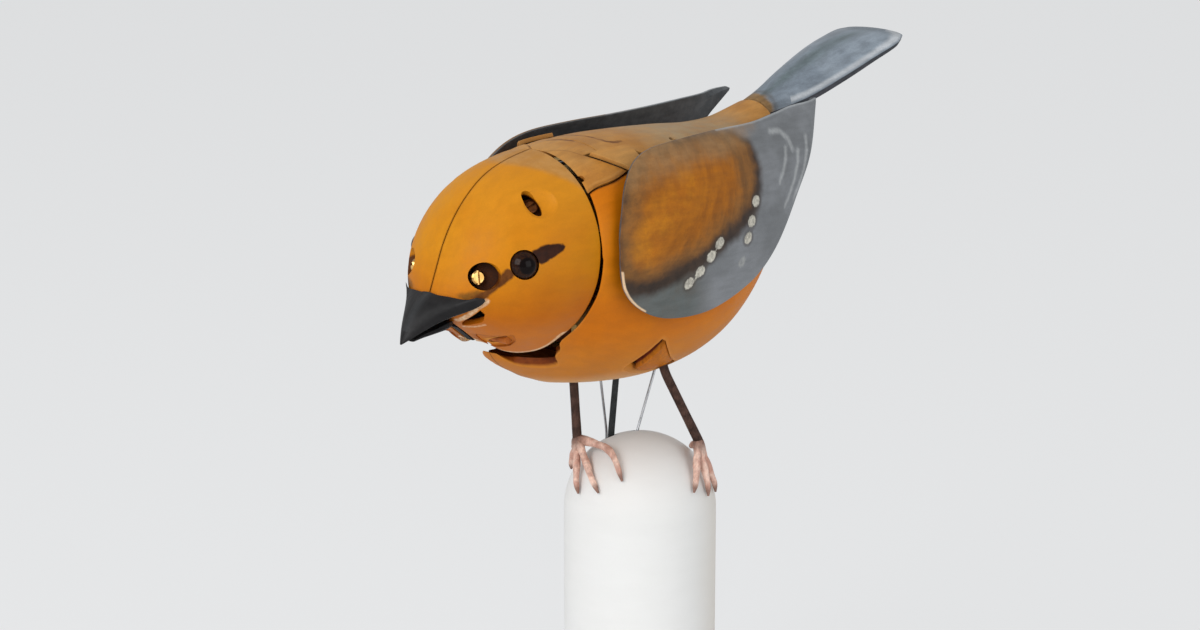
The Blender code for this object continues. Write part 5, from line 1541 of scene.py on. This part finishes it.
@dataclass
class Tail:
    """The carved tail, arched over and painted in long strokes."""

    stations: Run = Run((
        (50.3, 5.8, 111.9, 5.8, 2.2), (58.0, 6.8, 113.3, 7.4, 2.2), (68.0, 8.5, 115.6, 9.9, 2.2),
        (83.0, 10.3, 120.6, 10.8, 2.2), (96.0, 12.2, 125.8, 8.2, 2.0), (105.0, 13.4, 129.4, 5.0, 1.8),
        (109.3, 12.0, 131.0, 3.2, 1.6),
    ))

    def rings(self) -> np.ndarray:
        """Closed sections from root to end."""
        y = steps(self.stations.at[0], self.stations.at[-1], 90)[:, None]
        half, under, height, edge = np.moveaxis(self.stations(y[:, 0]), -1, 0)[..., None]
        turn = steps(-math.pi / 2, math.pi / 2, 40)[None, :]
        share, crown = np.sin(turn), np.cos(turn)
        over = DOME + under + edge + (height - edge) * crown
        below = DOME + under + 0.5 * (height - edge) * crown**2
        top = np.stack(np.broadcast_arrays(half * share, y, over), -1)
        low = np.stack(np.broadcast_arrays(half * share * 0.94, y, below), -1)
        return np.concatenate([top, low[:, ::-1]], axis=1)

    def build(self) -> None:
        """Makes and dresses the tail."""
        tail = soften(loft("tail_feathers", self.rings()), 0.3, 2, 50.0)

        def share(at: np.ndarray) -> np.ndarray:
            """Distance across the tail as a share of its half width."""
            return at[:, 0] / self.stations(at[:, 1])[:, 0]

        def rim(at: np.ndarray) -> np.ndarray:
            """Height above the line where top and underside meet."""
            values = self.stations(at[:, 1])
            return at[:, 2] - values[:, 1] - values[:, 3]

        def over(at: np.ndarray) -> np.ndarray:
            """Depth below the top's skin."""
            values = self.stations(at[:, 1])
            crown = np.sqrt(np.clip(1.0 - share(at) ** 2, 0.0, None))
            top = values[:, 1] + values[:, 3] + (values[:, 2] - values[:, 3]) * crown
            return top - at[:, 2]

        mark(tail, {
            "root": lambda at: at[:, 1] - 53.4 + 0.8 * share(at),
            "root_line": lambda at: np.abs(at[:, 1] - 54.6 + 0.8 * share(at)) - 0.5,
            "shaft": lambda at: (
                np.abs(share(at) - 0.25) * 10.0 - 1.8 + np.clip(at[:, 1] - 84.0, 0.0, 30.0) * 0.14),
            "haze": lambda at: (
                np.abs(share(at) + 0.45) * 9.0 - 2.2 + 0.25 * np.clip(78.0 - at[:, 1], 0.0, 30.0)),
            "tip": lambda at: 100.0 - at[:, 1] + 8.0 * np.abs(share(at)),
            "pale_edge": lambda at: np.where(
                (share(at) > 0.5) & (at[:, 1] > 60.0), np.abs(rim(at) - 1.1) - 0.5, AWAY),
            # Painted shade on everything more than 0.7 mm below the top's skin, the underside.
            "underside": lambda at: 0.7 - over(at),
        })
        dress(tail, TAIL_PAINT, Body.TAIL, Slot.TAIL_BLUE, "tail_plate")


@dataclass
class Legs:
    """Legs that run up into the frame, and feet whose toes lie on the dome."""

    dome_radius: float = 22.8
    toe_rise: float = 0.8
    thigh_low: float = 44.0
    frame_x: float = 11.9
    ankles: tuple[Point, Point] = ((17.2, 6.6, 22.6), (-12.4, -14.2, 21.8))
    thigh: tuple[tuple[Pair, ...], tuple[Pair, ...]] = (
        ((-1.6, 1.8), (-1.7, -3.0), (0.6, -10.7), (2.6, -14.8)),
        ((2.3, 2.1), (6.1, -3.9), (9.0, -8.3), (10.6, -10.9)),
    )
    toes: tuple[tuple[Point, ...], ...] = (
        ((22.4, -0.6, 9.0), (22.6, 6.0, 6.6), (20.0, 12.4, 6.0), (10.0, 12.0, 18.5)),
        ((-5.0, -22.6, 8.0), (3.0, -21.8, 9.6), (8.8, -17.6, 13.4), (-19.5, -10.5, 10.5)),
    )

    def thigh_piece(self, word: str, side: int, hip: Pair) -> Piece:
        """The painted thigh that fills the rear of a leg's opening, just below the skin."""
        rows, shares = np.meshgrid(steps(0.0, 1.0, 24), steps(0.0, 1.0, 14), indexing="ij")
        inner, outer = (indexed(line)(rows * 3.0) for line in self.thigh)
        plan = inner + (outer - inner) * shares[..., None]
        x, y = hip[0] + side * plan[..., 0], hip[1] + plan[..., 1]
        grids = [np.stack([x, y, BODY_FORM.under(x, y, inset)], -1) for inset in (0.6, 4.4)]
        return soften(skin(f"thigh_{word}", grids[0], grids[1]), 0.5)

    def toe_path(self, ankle: Point, toe: Point, arc: bool) -> list[Point]:
        """Centre line of one toe, down from the ankle and along the dome, or first out in an arc."""
        start, end = Vector((ankle[0], ankle[1], ankle[2] - 0.4)), Vector(toe)
        path = []
        for part in steps(0.0, 1.0, 22):
            point = start.lerp(end, part)
            clear = self.dome_radius + self.toe_rise + 1.15 * (1 - part)
            if arc:
                point += Vector((3.2, 2.2, 2.6)) * math.sin(math.pi * part) * (1.0 - 0.3 * part)
                clear += 1.2 * math.sin(math.pi * part)
            if part > 0.3 or point.length < clear:
                point = point.normalized() * max(clear, min(point.length, clear + 2.5 * (1 - part)))
            path.append((point.x, point.y, point.z + DOME))
        return path

    def claw(self, toe: Point) -> np.ndarray:
        """Where a toe's claw lies on the dome."""
        return np.array(toe) / np.linalg.norm(toe) * (self.dome_radius + self.toe_rise)

    def build(self) -> None:
        """Makes and dresses both legs and both feet."""
        thick = Run(((0.0, 1.5), (0.2, 1.25), (0.45, 1.1), (0.7, 1.0), (0.88, 0.72), (1.0, 0.3)))
        for (word, side), hip, ankle, toes in zip(SIDES, HIPS, self.ankles, self.toes):
            x, y, z = ankle
            inner = side * self.frame_x
            path = bent([(x, y, DOME + z - 0.2), (hip[0], hip[1], DOME + 46.0), (inner, hip[1], DOME + 56.0),
                         (inner, hip[1], DOME + 66.0)], 4.0)
            path = [path[0]] + [path[0].lerp(path[1], s) for s in steps(0.08, 0.92, 10)] + path[1:]
            swell = [1.35 + 0.12 * math.exp(-((index - 1) / 2.0) ** 2) for index in range(len(path))]
            leg = tube(f"shank_{word}", path, [min(1.42, s) for s in swell], 20)
            carve(leg, [self.thigh_piece(word, side, hip)], "UNION")
            mark(leg, {
                "thigh": lambda at: np.maximum(0.2 - BODY_FORM.depth(at), self.thigh_low - at[:, 2]),
                # Painted shade on the thigh's deeper faces inside the leg opening.
                "inside": lambda at: np.maximum(1.3 - BODY_FORM.depth(at), self.thigh_low - at[:, 2]),
            })
            dress(leg, LEG_PAINT, Body.STAND, Slot.LEG_BROWN, f"leg_{word}")
            widths = [float(thick.one(part)) * (1.0 + 0.1 * math.sin(part * 16.0))
                      for part in steps(0.0, 1.0, 22)]
            foot, *others = [tube(f"toe_{word}_{number}", self.toe_path(ankle, toe, side < 0 and number == 2),
                                  widths, 16) for number, toe in enumerate(toes)]
            foot.name = f"toes_{word}"
            carve(foot, others, "UNION")
            ends = [self.claw(toe) for toe in toes]
            mark(foot, {
                "ankle": lambda at, c=np.array(ankle): np.linalg.norm(at - c, axis=1) - 3.4,
                "claw": lambda at, e=ends: (
                    np.min([np.linalg.norm(at - end, axis=1) for end in e], axis=0) - 2.6),
            })
            dress(foot, TOE_PAINT, Body.STAND, Slot.TOE_PINK, f"foot_{word}")


@dataclass
class Stand:
    """Base plate, cover with its key slots, and the domed post."""

    base_radius: float = 55.0
    plate_top: float = 6.0
    cover_top: float = 42.0
    wall: float = 4.0
    post_radius: float = 22.8
    seam: float = 0.35
    hole_radius: float = 18.0
    key_half: float = 2.6
    guides: tuple[tuple[Pair, Pair], ...] = (((-12.8, -1.0), (1.4, 2.2)), ((-9.4, -2.6), (2.0, 2.0)),
                                             ((-4.2, 3.1), (1.5, 2.4)))

    @staticmethod
    def arc(radius: float, start: float, stop: float, count: int, centre: Pair) -> list[Pair]:
        """Points of an arc in degrees."""
        turns = np.radians(steps(start, stop, count))
        return [(centre[0] + radius * math.cos(t), centre[1] + radius * math.sin(t)) for t in turns]

    def build(self) -> None:
        """Makes and dresses the three white pieces."""
        r = self.base_radius
        plate = lathe("foot_plate", [
            (0.001, 0.0), (r - 1.2, 0.0), (r - 0.5, 0.15), (r - 0.1, 0.6), (r, 1.2),
            (r, self.plate_top - 0.3), (r - 0.3, self.plate_top), (0.001, self.plate_top)], 160)
        mark(plate, {"aged": plain(20.0)})
        dress(plate, POST_PAINT, Body.STAND, Slot.POST_WHITE, "base_plate")
        low, outer, top = self.plate_top + self.seam, r - 0.5, self.cover_top
        cover = lathe("base_shell", [
            (outer, low), *self.arc(8.0, 0, 90, 14, (outer - 8.0, top - 8.0)), (self.hole_radius + 0.4, top),
            (self.hole_radius, top - 0.4), (self.hole_radius, top - self.wall),
            (outer - 10.0, top - self.wall), (outer - self.wall, top - 10.0),
            (outer - self.wall, low)], 160)
        carve(cover, [block(f"key_slot_{n}", (n * LEVER_SPACING - self.key_half, 30.0, 7.6),
                            (n * LEVER_SPACING + self.key_half, 60.0, 29.5)) for n in (-1, 0, 1)])
        mark(cover, {"aged": plain(20.0)})
        dress(cover, POST_PAINT, Body.STAND, Slot.POST_WHITE, "base_cover")
        post_low = top + self.seam
        inner = self.post_radius - self.wall
        post = lathe("post_shell", [
            (self.post_radius, post_low), *self.arc(self.post_radius, 0, 90, 40, (0.0, DOME))[:-1],
            (0.001, DOME + self.post_radius), (0.001, DOME + inner),
            *self.arc(inner, 90, 0, 24, (0.0, DOME))[1:], (inner, post_low)], 128)
        mesh = bmesh.new()
        mesh.from_mesh(post.data)
        rim = [e for e in mesh.edges if e.is_boundary and abs(e.verts[0].co.z - post_low * MM) < 1e-6]
        bmesh.ops.bridge_loops(mesh, edges=rim)
        bmesh.ops.recalc_face_normals(mesh, faces=mesh.faces)
        mesh.to_mesh(post.data)
        mesh.free()
        carve(post, [plan_loft(f"guide_{number}", oval(centre, halves, 24), 12.0, 26.0)
                     for number, (centre, halves) in enumerate(self.guides)])
        # Painted shade: the coat lies on the post's side towards the camera's right, away from the key lamp.
        right = Studio.right
        mark(post, {"aged": lambda at: 21.0 - at[:, 0] * right[0] - at[:, 1] * right[1]})
        dress(post, POST_PAINT, Body.STAND, Slot.POST_WHITE, "perch_post")


@dataclass
class Wires:
    """The three bent rods that run from the levers, through the post, up into the bird."""

    exit_z: float = DOME + 21.5
    rods: tuple[tuple[str, int, float, Pair, Point, float], ...] = (
        ("song_rod", -1, 22.0, (-12.8, -1.0), (-3.2, -19.0, DOME + 74.0), 0.4),
        ("tail_rod", 1, 17.0, (-4.2, 3.1), (-3.2, 38.3, DOME + 105.0), 0.4),
        ("wing_rod", 0, 25.0, (-9.4, -2.6), (0.0, -2.7, DOME + 104.75), 0.75),
    )

    def path(self, side: int, arm: float, leave: Pair, top: Point, hooked: bool) -> list[Point]:
        """Corners of one rod, from its lever to its crank."""
        x = side * LEVER_SPACING
        y, z = LEVER_PIN[0] + arm, LEVER_PIN[1]
        beside = x + 3.4
        path: list[Point] = [(x - 2.6, y, z), (beside - 0.8, y, z), (beside, y, z + 0.8), (beside, y, 48.0),
                             (*leave, 92.0), (*leave, self.exit_z - 6.0), (*leave, self.exit_z)]
        if not hooked:
            return path + [top]
        hook = ((0.0, -0.8), (0.8, 0.0), (5.0, 0.0))
        return path + [(top[0] + dx, top[1], top[2] + dz) for dx, dz in hook]

    def build(self) -> None:
        """Makes and dresses the rods; the wing rod wears a black sleeve with a thicker foot."""
        bodies = {"song_rod": Body.SONG_WIRE, "tail_rod": Body.TAIL_WIRE, "wing_rod": Body.WING_WIRE}
        for name, side, arm, leave, top, radius in self.rods:
            sleeve = name == "wing_rod"
            line = bent(self.path(side, arm, leave, top, not sleeve), 2.0)
            widths = [radius + (0.25 if sleeve and DOME + 18.0 < point.z < DOME + 24.0 else 0.0)
                      for point in line]
            finish, slot = (RUBBER, Slot.BLACK_RUBBER) if sleeve else (STEEL, Slot.STEEL)
            dress(tube(f"bent_{name}", line, widths, 14), finish, bodies[name], slot, name)


@dataclass
class Levers:
    """Three brass finger levers with round key pads."""

    key: float = 75.0

    def lever(self, name: str, number: int, arm: float) -> Piece:
        """One lever with its bore, rod slot and pad."""
        y, z = LEVER_PIN
        x = number * LEVER_SPACING
        outline = [(y - 4.0, z - 2.5), (y - 4.0, z + 2.5), (y - 2.0, z + 4.0), (y + 3.0, z + 4.0),
                   (46.0, z + 3.0), (self.key - 5.0, z + 1.0), (self.key - 5.0, z - 1.6), (46.0, z - 3.0),
                   (y + 3.0, z - 4.0), (y - 2.0, z - 4.0)]
        bar = loft(f"{name}_bar", np.array([[(x + dx, a, b) for a, b in outline] for dx in (-1.5, 1.5)]))
        soften(bar, 0.35)
        pad = ((-1.4, 0.93), (-1.1, 1.0), (2.0, 1.0), (2.45, 0.94), (2.6, 0.85), (2.3, 0.6), (2.2, 0.1))
        rings = [[(x + 4.6 * grow * math.cos(t), self.key - 5.0 + 5.5 * grow * math.sin(t), z + height)
                  for t in round_turns(48)] for height, grow in pad]
        carve(bar, [loft(f"{name}_pad", np.array(rings))], "UNION")
        slot = [(y + arm + dy, z + dz) for dy, dz in ((-1.3, -0.9), (1.3, -0.9), (1.3, 0.9), (-1.3, 0.9))]
        return carve(bar, [
            tube(f"{name}_bore", [(x - 3.0, y, z), (x + 3.0, y, z)], 1.75, 28),
            loft(f"{name}_slot", np.array([[(x + dx, a, b) for a, b in slot] for dx in (-3.0, 3.0)])),
        ])

    def build(self) -> None:
        """Makes and dresses the levers."""
        for name, number, arm, body in (
                ("song_lever", -1, 22.0, Body.SONG_KEY), ("wing_lever", 0, 25.0, Body.WING_KEY),
                ("tail_lever", 1, 17.0, Body.TAIL_KEY)):
            dress(self.lever(name, number, arm), BRASS, body, Slot.BRASS, name)


class NodeTree:
    """A Geometry Nodes tree with named inputs, run on a piece and turned into its mesh."""

    def __init__(self, name: str) -> None:
        """Makes the tree with its geometry input and output."""
        self.tree = bpy.data.node_groups.new(name, "GeometryNodeTree")
        self.tree.interface.new_socket("Geometry", in_out="INPUT", socket_type="NodeSocketGeometry")
        self.tree.interface.new_socket("Geometry", in_out="OUTPUT", socket_type="NodeSocketGeometry")
        self.sizes: dict[str, str] = {}
        self.start = self.tree.nodes.new("NodeGroupInput")
        self.stop = self.tree.nodes.new("NodeGroupOutput")

    def size(self, name: str, value: float, kind: str = "NodeSocketFloat") -> Socket:
        """A named input, with its value for this use."""
        made = self.tree.interface.new_socket(name, in_out="INPUT", socket_type=kind)
        made.default_value = value
        self.sizes[made.identifier] = value
        return self.start.outputs[name]

    def add(self, kind: str, links: dict[str, Socket | float | Sequence[float]] | None = None,
            **settings: str | bool) -> bpy.types.Node:
        """A node with its settings and inputs."""
        node = self.tree.nodes.new(kind)
        for label, value in settings.items():
            setattr(node, label, value)
        for label, value in (links or {}).items():
            target = node.inputs[label]
            if isinstance(value, bpy.types.NodeSocket):
                self.tree.links.new(value, target)
            else:
                target.default_value = value
        return node

    def run(self, piece: Piece, result: Socket, finish: Paint) -> Piece:
        """Ends the tree, runs it on a piece and keeps the mesh.

        Args:
            piece: A piece whose mesh is the tree's input.
            result: The geometry to keep.
            finish: The finish set in the tree.

        Returns:
            The piece, with a plain mesh.
        """
        real = self.add("GeometryNodeRealizeInstances", {"Geometry": result})
        painted = self.add("GeometryNodeSetMaterial",
                           {"Geometry": real.outputs[0], "Material": finish.material()})
        self.tree.links.new(painted.outputs[0], self.stop.inputs[0])
        step = piece.modifiers.new("nodes", "NODES")
        step.node_group = self.tree
        for identifier, value in self.sizes.items():
            step[identifier] = value
        settle(piece)
        return piece


@dataclass
class Screws:
    """Slotted cheese-head screws, set out by Geometry Nodes, one group for each body and finish."""

    slot_share: float = 0.17
    mantle_screw: Point = (14.9, -22.4, 111.9)

    def points_piece(self, name: str, places: Sequence[tuple[Point, Point]]) -> Piece:
        """A piece of bare points that know which way each screw faces."""
        mesh = bpy.data.meshes.new(name)
        mesh.from_pydata([tuple(value * MM for value in place) for place, _ in places], [], [])
        facing = mesh.attributes.new("out", "FLOAT_VECTOR", "POINT")
        facing.data.foreach_set("vector", [value for _, out in places for value in out])
        return linked(name, mesh)

    def group(self, name: str, places: Sequence[tuple[Point, Point]], radius: float, height: float, seed: int,
              finish: Paint) -> Piece:
        """A group of equal screws.

        Args:
            name: The piece's name.
            places: Middle of each head's underside, and the way it faces.
            radius: Head radius.
            height: Head height.
            seed: Seed of the slots' turns.
            finish: The screws' finish.

        Returns:
            The screws as one piece.
        """
        nodes = NodeTree(f"{name}_nodes")
        head_radius = nodes.size("Head Radius", radius * MM)
        head_height = nodes.size("Head Height", height * MM)
        chance = nodes.size("Seed", seed, "NodeSocketInt")
        head = nodes.add("GeometryNodeMeshCylinder",
                         {"Vertices": 32, "Radius": head_radius, "Depth": head_height})
        top = nodes.add("GeometryNodeExtrudeMesh", {
            "Mesh": head.outputs["Mesh"], "Selection": head.outputs["Top"],
            "Offset Scale": height * MM * 0.22})
        domed = nodes.add("GeometryNodeScaleElements", {
            "Geometry": top.outputs["Mesh"], "Selection": top.outputs["Top"], "Scale": 0.8})
        slot = nodes.add("GeometryNodeMeshCube", {
            "Size": (radius * 2.4 * MM, radius * 2 * self.slot_share * MM, height * 0.9 * MM)})
        raised = nodes.add("GeometryNodeTransform", {
            "Geometry": slot.outputs["Mesh"], "Translation": (0.0, 0.0, height * 0.75 * MM)})
        cut = nodes.add("GeometryNodeMeshBoolean", {"Mesh 1": domed.outputs["Geometry"]},
                        operation="DIFFERENCE")
        nodes.tree.links.new(raised.outputs["Geometry"], cut.inputs["Mesh 2"])
        facing = nodes.add("GeometryNodeInputNamedAttribute", {"Name": "out"}, data_type="FLOAT_VECTOR")
        aligned = nodes.add("FunctionNodeAlignRotationToVector", {"Vector": facing.outputs["Attribute"]},
                            axis="Z")
        spin = nodes.add("FunctionNodeRandomValue", {"Seed": chance}, data_type="FLOAT")
        spin.inputs[3].default_value = 3.1
        turn = nodes.add("ShaderNodeCombineXYZ", {"Z": spin.outputs[1]})
        turned = nodes.add("FunctionNodeRotateRotation", {"Rotation": aligned.outputs[0]},
                           rotation_space="LOCAL")
        angle = nodes.add("FunctionNodeEulerToRotation", {"Euler": turn.outputs[0]})
        nodes.tree.links.new(angle.outputs[0], turned.inputs["Rotate By"])
        set_out = nodes.add("GeometryNodeInstanceOnPoints", {
            "Points": nodes.start.outputs["Geometry"], "Instance": cut.outputs["Mesh"],
            "Rotation": turned.outputs[0]})
        piece = nodes.run(self.points_piece(name, places), set_out.outputs["Instances"], finish)
        shade(piece, 30.0)
        return piece

    def build(self, head: Head) -> None:
        """Sets the screws of the head, the mantle and the base."""
        front, crown, back = [], [], []
        here, out = head.pocket()
        place = here - out * 2.2 + Vector((-0.9, -0.9, -0.3))
        for _, side in SIDES:
            front.append((tuple(mirrored([place], side)[0]), tuple(mirrored([out], side)[0])))
            x, y, z = mirrored([self.mantle_screw], side)[0]
            back.append(((x, y, z + DOME), tuple(BODY_FORM.normal(y, math.atan2(x, z - BODY_HEART)))))
            hole = Vector(mirrored([head.crown_hole], side)[0]) + Vector(DOME_UP)
            lift = HEAD_FORM.normal(hole.y, math.atan2(hole.x, hole.z - DOME - HEAD_HEART))
            crown.append((tuple(hole - lift * 2.6), tuple(lift)))
        bracket = [((side * 15.0, LEVER_PIN[0] + dy, 9.6), (0.0, 0.0, 1.0))
                   for side in (-1, 1) for dy in (-3.2, 3.2)]
        for name, places, radius, height, seed, finish, body, slot in (
                ("mantle_screws", back, 0.85, 0.5, 11, STEEL, Body.STAND, Slot.STEEL),
                ("front_screws", front, 1.9, 1.3, 3, SCREW_BRASS, Body.HEAD, Slot.BRASS),
                ("crown_screws", crown, 1.9, 1.3, 5, SCREW_DARK, Body.HEAD, Slot.STEEL),
                ("bracket_screws", bracket, 1.6, 1.2, 7, STEEL, Body.STAND, Slot.STEEL)):
            dress(self.group(name, places, radius, height, seed, finish), finish, body, slot)


@dataclass
class Springs:
    """The levers' return springs: real coils between base plate and lever."""

    wire: float = 0.35
    radius: float = 2.0
    turns: float = 7.0
    y: float = 20.0
    low: float = 6.7
    high: float = 19.2

    def coil(self, name: str, x: float) -> Piece:
        """One coil, made along a spiral by Geometry Nodes."""
        nodes = NodeTree(f"{name}_nodes")
        wire = nodes.size("Wire Radius", self.wire * MM)
        radius = nodes.size("Coil Radius", self.radius * MM)
        turns = nodes.size("Turns", self.turns)
        height = nodes.size("Height", (self.high - self.low) * MM)
        spiral = nodes.add("GeometryNodeCurveSpiral", {
            "Resolution": 24, "Rotations": turns, "Start Radius": radius, "End Radius": radius,
            "Height": height})
        ring = nodes.add("GeometryNodeCurvePrimitiveCircle", {"Resolution": 8, "Radius": wire})
        body = nodes.add("GeometryNodeCurveToMesh", {
            "Curve": spiral.outputs[0], "Profile Curve": ring.outputs["Curve"], "Fill Caps": True})
        placed = nodes.add("GeometryNodeTransform", {
            "Geometry": body.outputs[0], "Translation": (x * MM, self.y * MM, self.low * MM)})
        piece = nodes.run(linked(name, bpy.data.meshes.new(name)), placed.outputs["Geometry"], STEEL)
        shade(piece, 60.0)
        return piece

    def build(self) -> None:
        """Makes and dresses the three springs, each with a mesh of its own."""
        for word, number in (("song", -1), ("wing", 0), ("tail", 1)):
            coil = self.coil(f"{word}_coil", number * LEVER_SPACING)
            dress(coil, STEEL, Body.STAND, Slot.STEEL, f"{word}_spring")
            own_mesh(coil)


@dataclass
class Bellows:
    """The folded leather between the bellows boards."""

    x: Pair = (-40.5, -23.5)
    y: Pair = (-21.0, 23.0)
    low: float = 8.75
    hinge: Pair = (-24.0, 8.7)
    rise: float = math.tan(math.radians(17.0))
    gap: float = 0.4
    folds: int = 5
    tuck: float = 1.4

    def build(self) -> None:
        """Makes and dresses the leather, with a mesh of its own."""
        rings = []
        for index in range(self.folds * 2 + 1):
            share = index / (self.folds * 2)
            pull = self.tuck if index % 2 else 0.0
            ring = []
            for corner_x, corner_y in ((0, 0), (1, 0), (1, 1), (0, 1)):
                for step in steps(0.0, 1.0, 12)[:-1]:
                    ahead = {(0, 0): (step, 0), (1, 0): (1, step), (1, 1): (1 - step, 1),
                             (0, 1): (0, 1 - step)}
                    across, along = ahead[(corner_x, corner_y)]
                    x = self.x[0] + pull + (self.x[1] - self.x[0] - 2 * pull) * across
                    y = self.y[0] + pull + (self.y[1] - self.y[0] - 2 * pull) * along
                    top = self.hinge[1] + (y - self.hinge[0]) * self.rise - self.gap
                    ring.append((x, y, self.low + (top - self.low) * share))
            rings.append(ring)
        leather = soften(loft("bellows_folds", np.array(rings)), 0.25, 2, 30.0)
        dress(leather, LEATHER, Body.STAND, Slot.KID_LEATHER, "bellows_leather")
        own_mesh(leather)


@dataclass
class Mechanism:
    """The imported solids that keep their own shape: each gets its finish."""

    special: tuple[tuple[str, Paint], ...] = (
        # The head core wears the dark painted shade of the pocket floors.
        ("jaw_pin", PAINTED_PIN), ("lower_beak", JAW_PAINT), ("head_core", POCKET_FLOOR_SHADE),
    )

    def build(self) -> None:
        """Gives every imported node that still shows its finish."""
        finishes = {
            Slot.BRASS: BRASS, Slot.STEEL: STEEL, Slot.PEAR_WOOD: PEAR_WOOD, Slot.BLACK_RUBBER: RUBBER,
            Slot.KID_LEATHER: LEATHER, Slot.POST_WHITE: POST_PAINT, Slot.BEAK_BLACK: BEAK_PAINT,
            Slot.LEG_BROWN: LEG_PAINT, Slot.TOE_PINK: TOE_PAINT, Slot.OCHRE: BREAST_PAINT,
            Slot.TAN: BACK_PAINT, Slot.WING_GREY: WING_PAINT, Slot.TAIL_BLUE: TAIL_PAINT, Slot.EYE_GLASS: EYE,
        }
        slots = {row["node"]: row["material_slot"] for row in frame["record"]["subparts"]}
        special = dict(self.special)
        for name, node in frame["nodes"].items():
            if node.hide_render:
                continue
            finish = special.get(name, finishes[Slot(slots[name])])
            node.data.materials.clear()
            node.data.materials.append(finish.material())
            LOG.info("%s keeps its solid, in %s", name, finish.name)


@dataclass
class Studio:
    """Floor, soft lamps and the camera at the photograph's angle."""

    back: Point = (0.6645, -0.7126, 0.2250)
    right: Point = (0.7314, 0.6820, 0.0)
    up: Point = (-0.1534, 0.1645, 0.9744)
    distance: float = 0.8
    lamp_size: float = 1.1
    lamp_target: Point = (0.0, 0.0, 0.19)
    floor_half: float = 9000.0
    floor_glow: float = 0.7
    sky_strength: float = 0.66
    pale: Colour = rgb(235, 236, 237)

    def camera(self) -> None:
        """Sets the camera."""
        back, right, up = Vector(self.back).normalized(), Vector(self.right), Vector(self.up)
        data = bpy.data.cameras.new("camera")
        data.lens = 80.0
        data.sensor_width = 36.0
        data.clip_start, data.clip_end = 0.01, 50.0
        camera = linked("camera", data)
        camera.location = Vector((0, 0, DOME * MM)) + back * self.distance - right * 0.012 + up * 0.0573
        axes = Matrix((right.normalized(), up.normalized(), back)).transposed()
        camera.rotation_euler = axes.to_euler()
        bpy.context.scene.camera = camera

    def lamp(self, name: str, place: Vector, power: float) -> None:
        """A soft square lamp that faces the bird."""
        data = bpy.data.lights.new(name, "AREA")
        data.shape = "SQUARE"
        data.size = self.lamp_size
        data.energy = power
        lamp = linked(name, data)
        lamp.location = place
        lamp.rotation_euler = (place - Vector(self.lamp_target)).to_track_quat("Z", "Y").to_euler()

    def pale_surface(self) -> bpy.types.Material:
        """A floor that keeps shadows and shows its own pale colour to the camera."""
        material = bpy.data.materials.new("studio_floor")
        material.use_nodes = True
        nodes, links = material.node_tree.nodes, material.node_tree.links
        nodes.clear()
        diffuse = nodes.new("ShaderNodeBsdfDiffuse")
        diffuse.inputs["Color"].default_value = (*self.pale, 1.0)
        glow = nodes.new("ShaderNodeEmission")
        glow.inputs["Color"].default_value = (*self.pale, 1.0)
        rays = nodes.new("ShaderNodeLightPath")
        seen = nodes.new("ShaderNodeMath")
        seen.operation = "MULTIPLY"
        seen.inputs[1].default_value = self.floor_glow
        mixed = nodes.new("ShaderNodeMixShader")
        out = nodes.new("ShaderNodeOutputMaterial")
        links.new(rays.outputs["Is Camera Ray"], seen.inputs[0])
        links.new(seen.outputs[0], mixed.inputs[0])
        links.new(diffuse.outputs[0], mixed.inputs[1])
        links.new(glow.outputs[0], mixed.inputs[2])
        links.new(mixed.outputs[0], out.inputs["Surface"])
        return material

    def build(self) -> None:
        """Sets floor, world, lamps and camera."""
        half = self.floor_half
        corners = [(x, y, -0.05) for x, y in ((-half, -half), (half, -half), (half, half), (-half, half))]
        floor = to_piece("studio_floor", corners, [(0, 1, 2, 3)])
        floor.data.materials.append(self.pale_surface())
        world = bpy.context.scene.world or bpy.data.worlds.new("studio")
        bpy.context.scene.world = world
        world.use_nodes = True
        shown = world.node_tree.nodes["Background"]
        shown.inputs["Color"].default_value = (*self.pale, 1.0)
        shown.inputs["Strength"].default_value = self.sky_strength
        back, right = Vector(self.back), Vector(self.right)
        high = Vector((0.0, 0.0, 1.0))
        self.lamp("key_lamp", back * 1.1 - right * 0.9 + high * 0.75, 16.0)
        self.lamp("fill_lamp", back * 1.1 + right * 1.1 + high * 0.35, 6.0)
        self.camera()
        bpy.context.scene.view_settings.view_transform = "Standard"


def main() -> None:
    """Builds every sub-assembly in order."""
    logging.basicConfig(level=logging.INFO, format="%(name)s: %(message)s")
    head = Head()
    head.build()
    Beak().build()
    Trunk(MouthEdge()).build()
    Wings().build()
    Tail().build()
    Legs().build()
    Stand().build()
    Wires().build()
    Levers().build()
    Screws().build(head)
    Springs().build()
    Bellows().build()
    Mechanism().build()
    Studio().build()


if __name__ == "__main__":
    main()
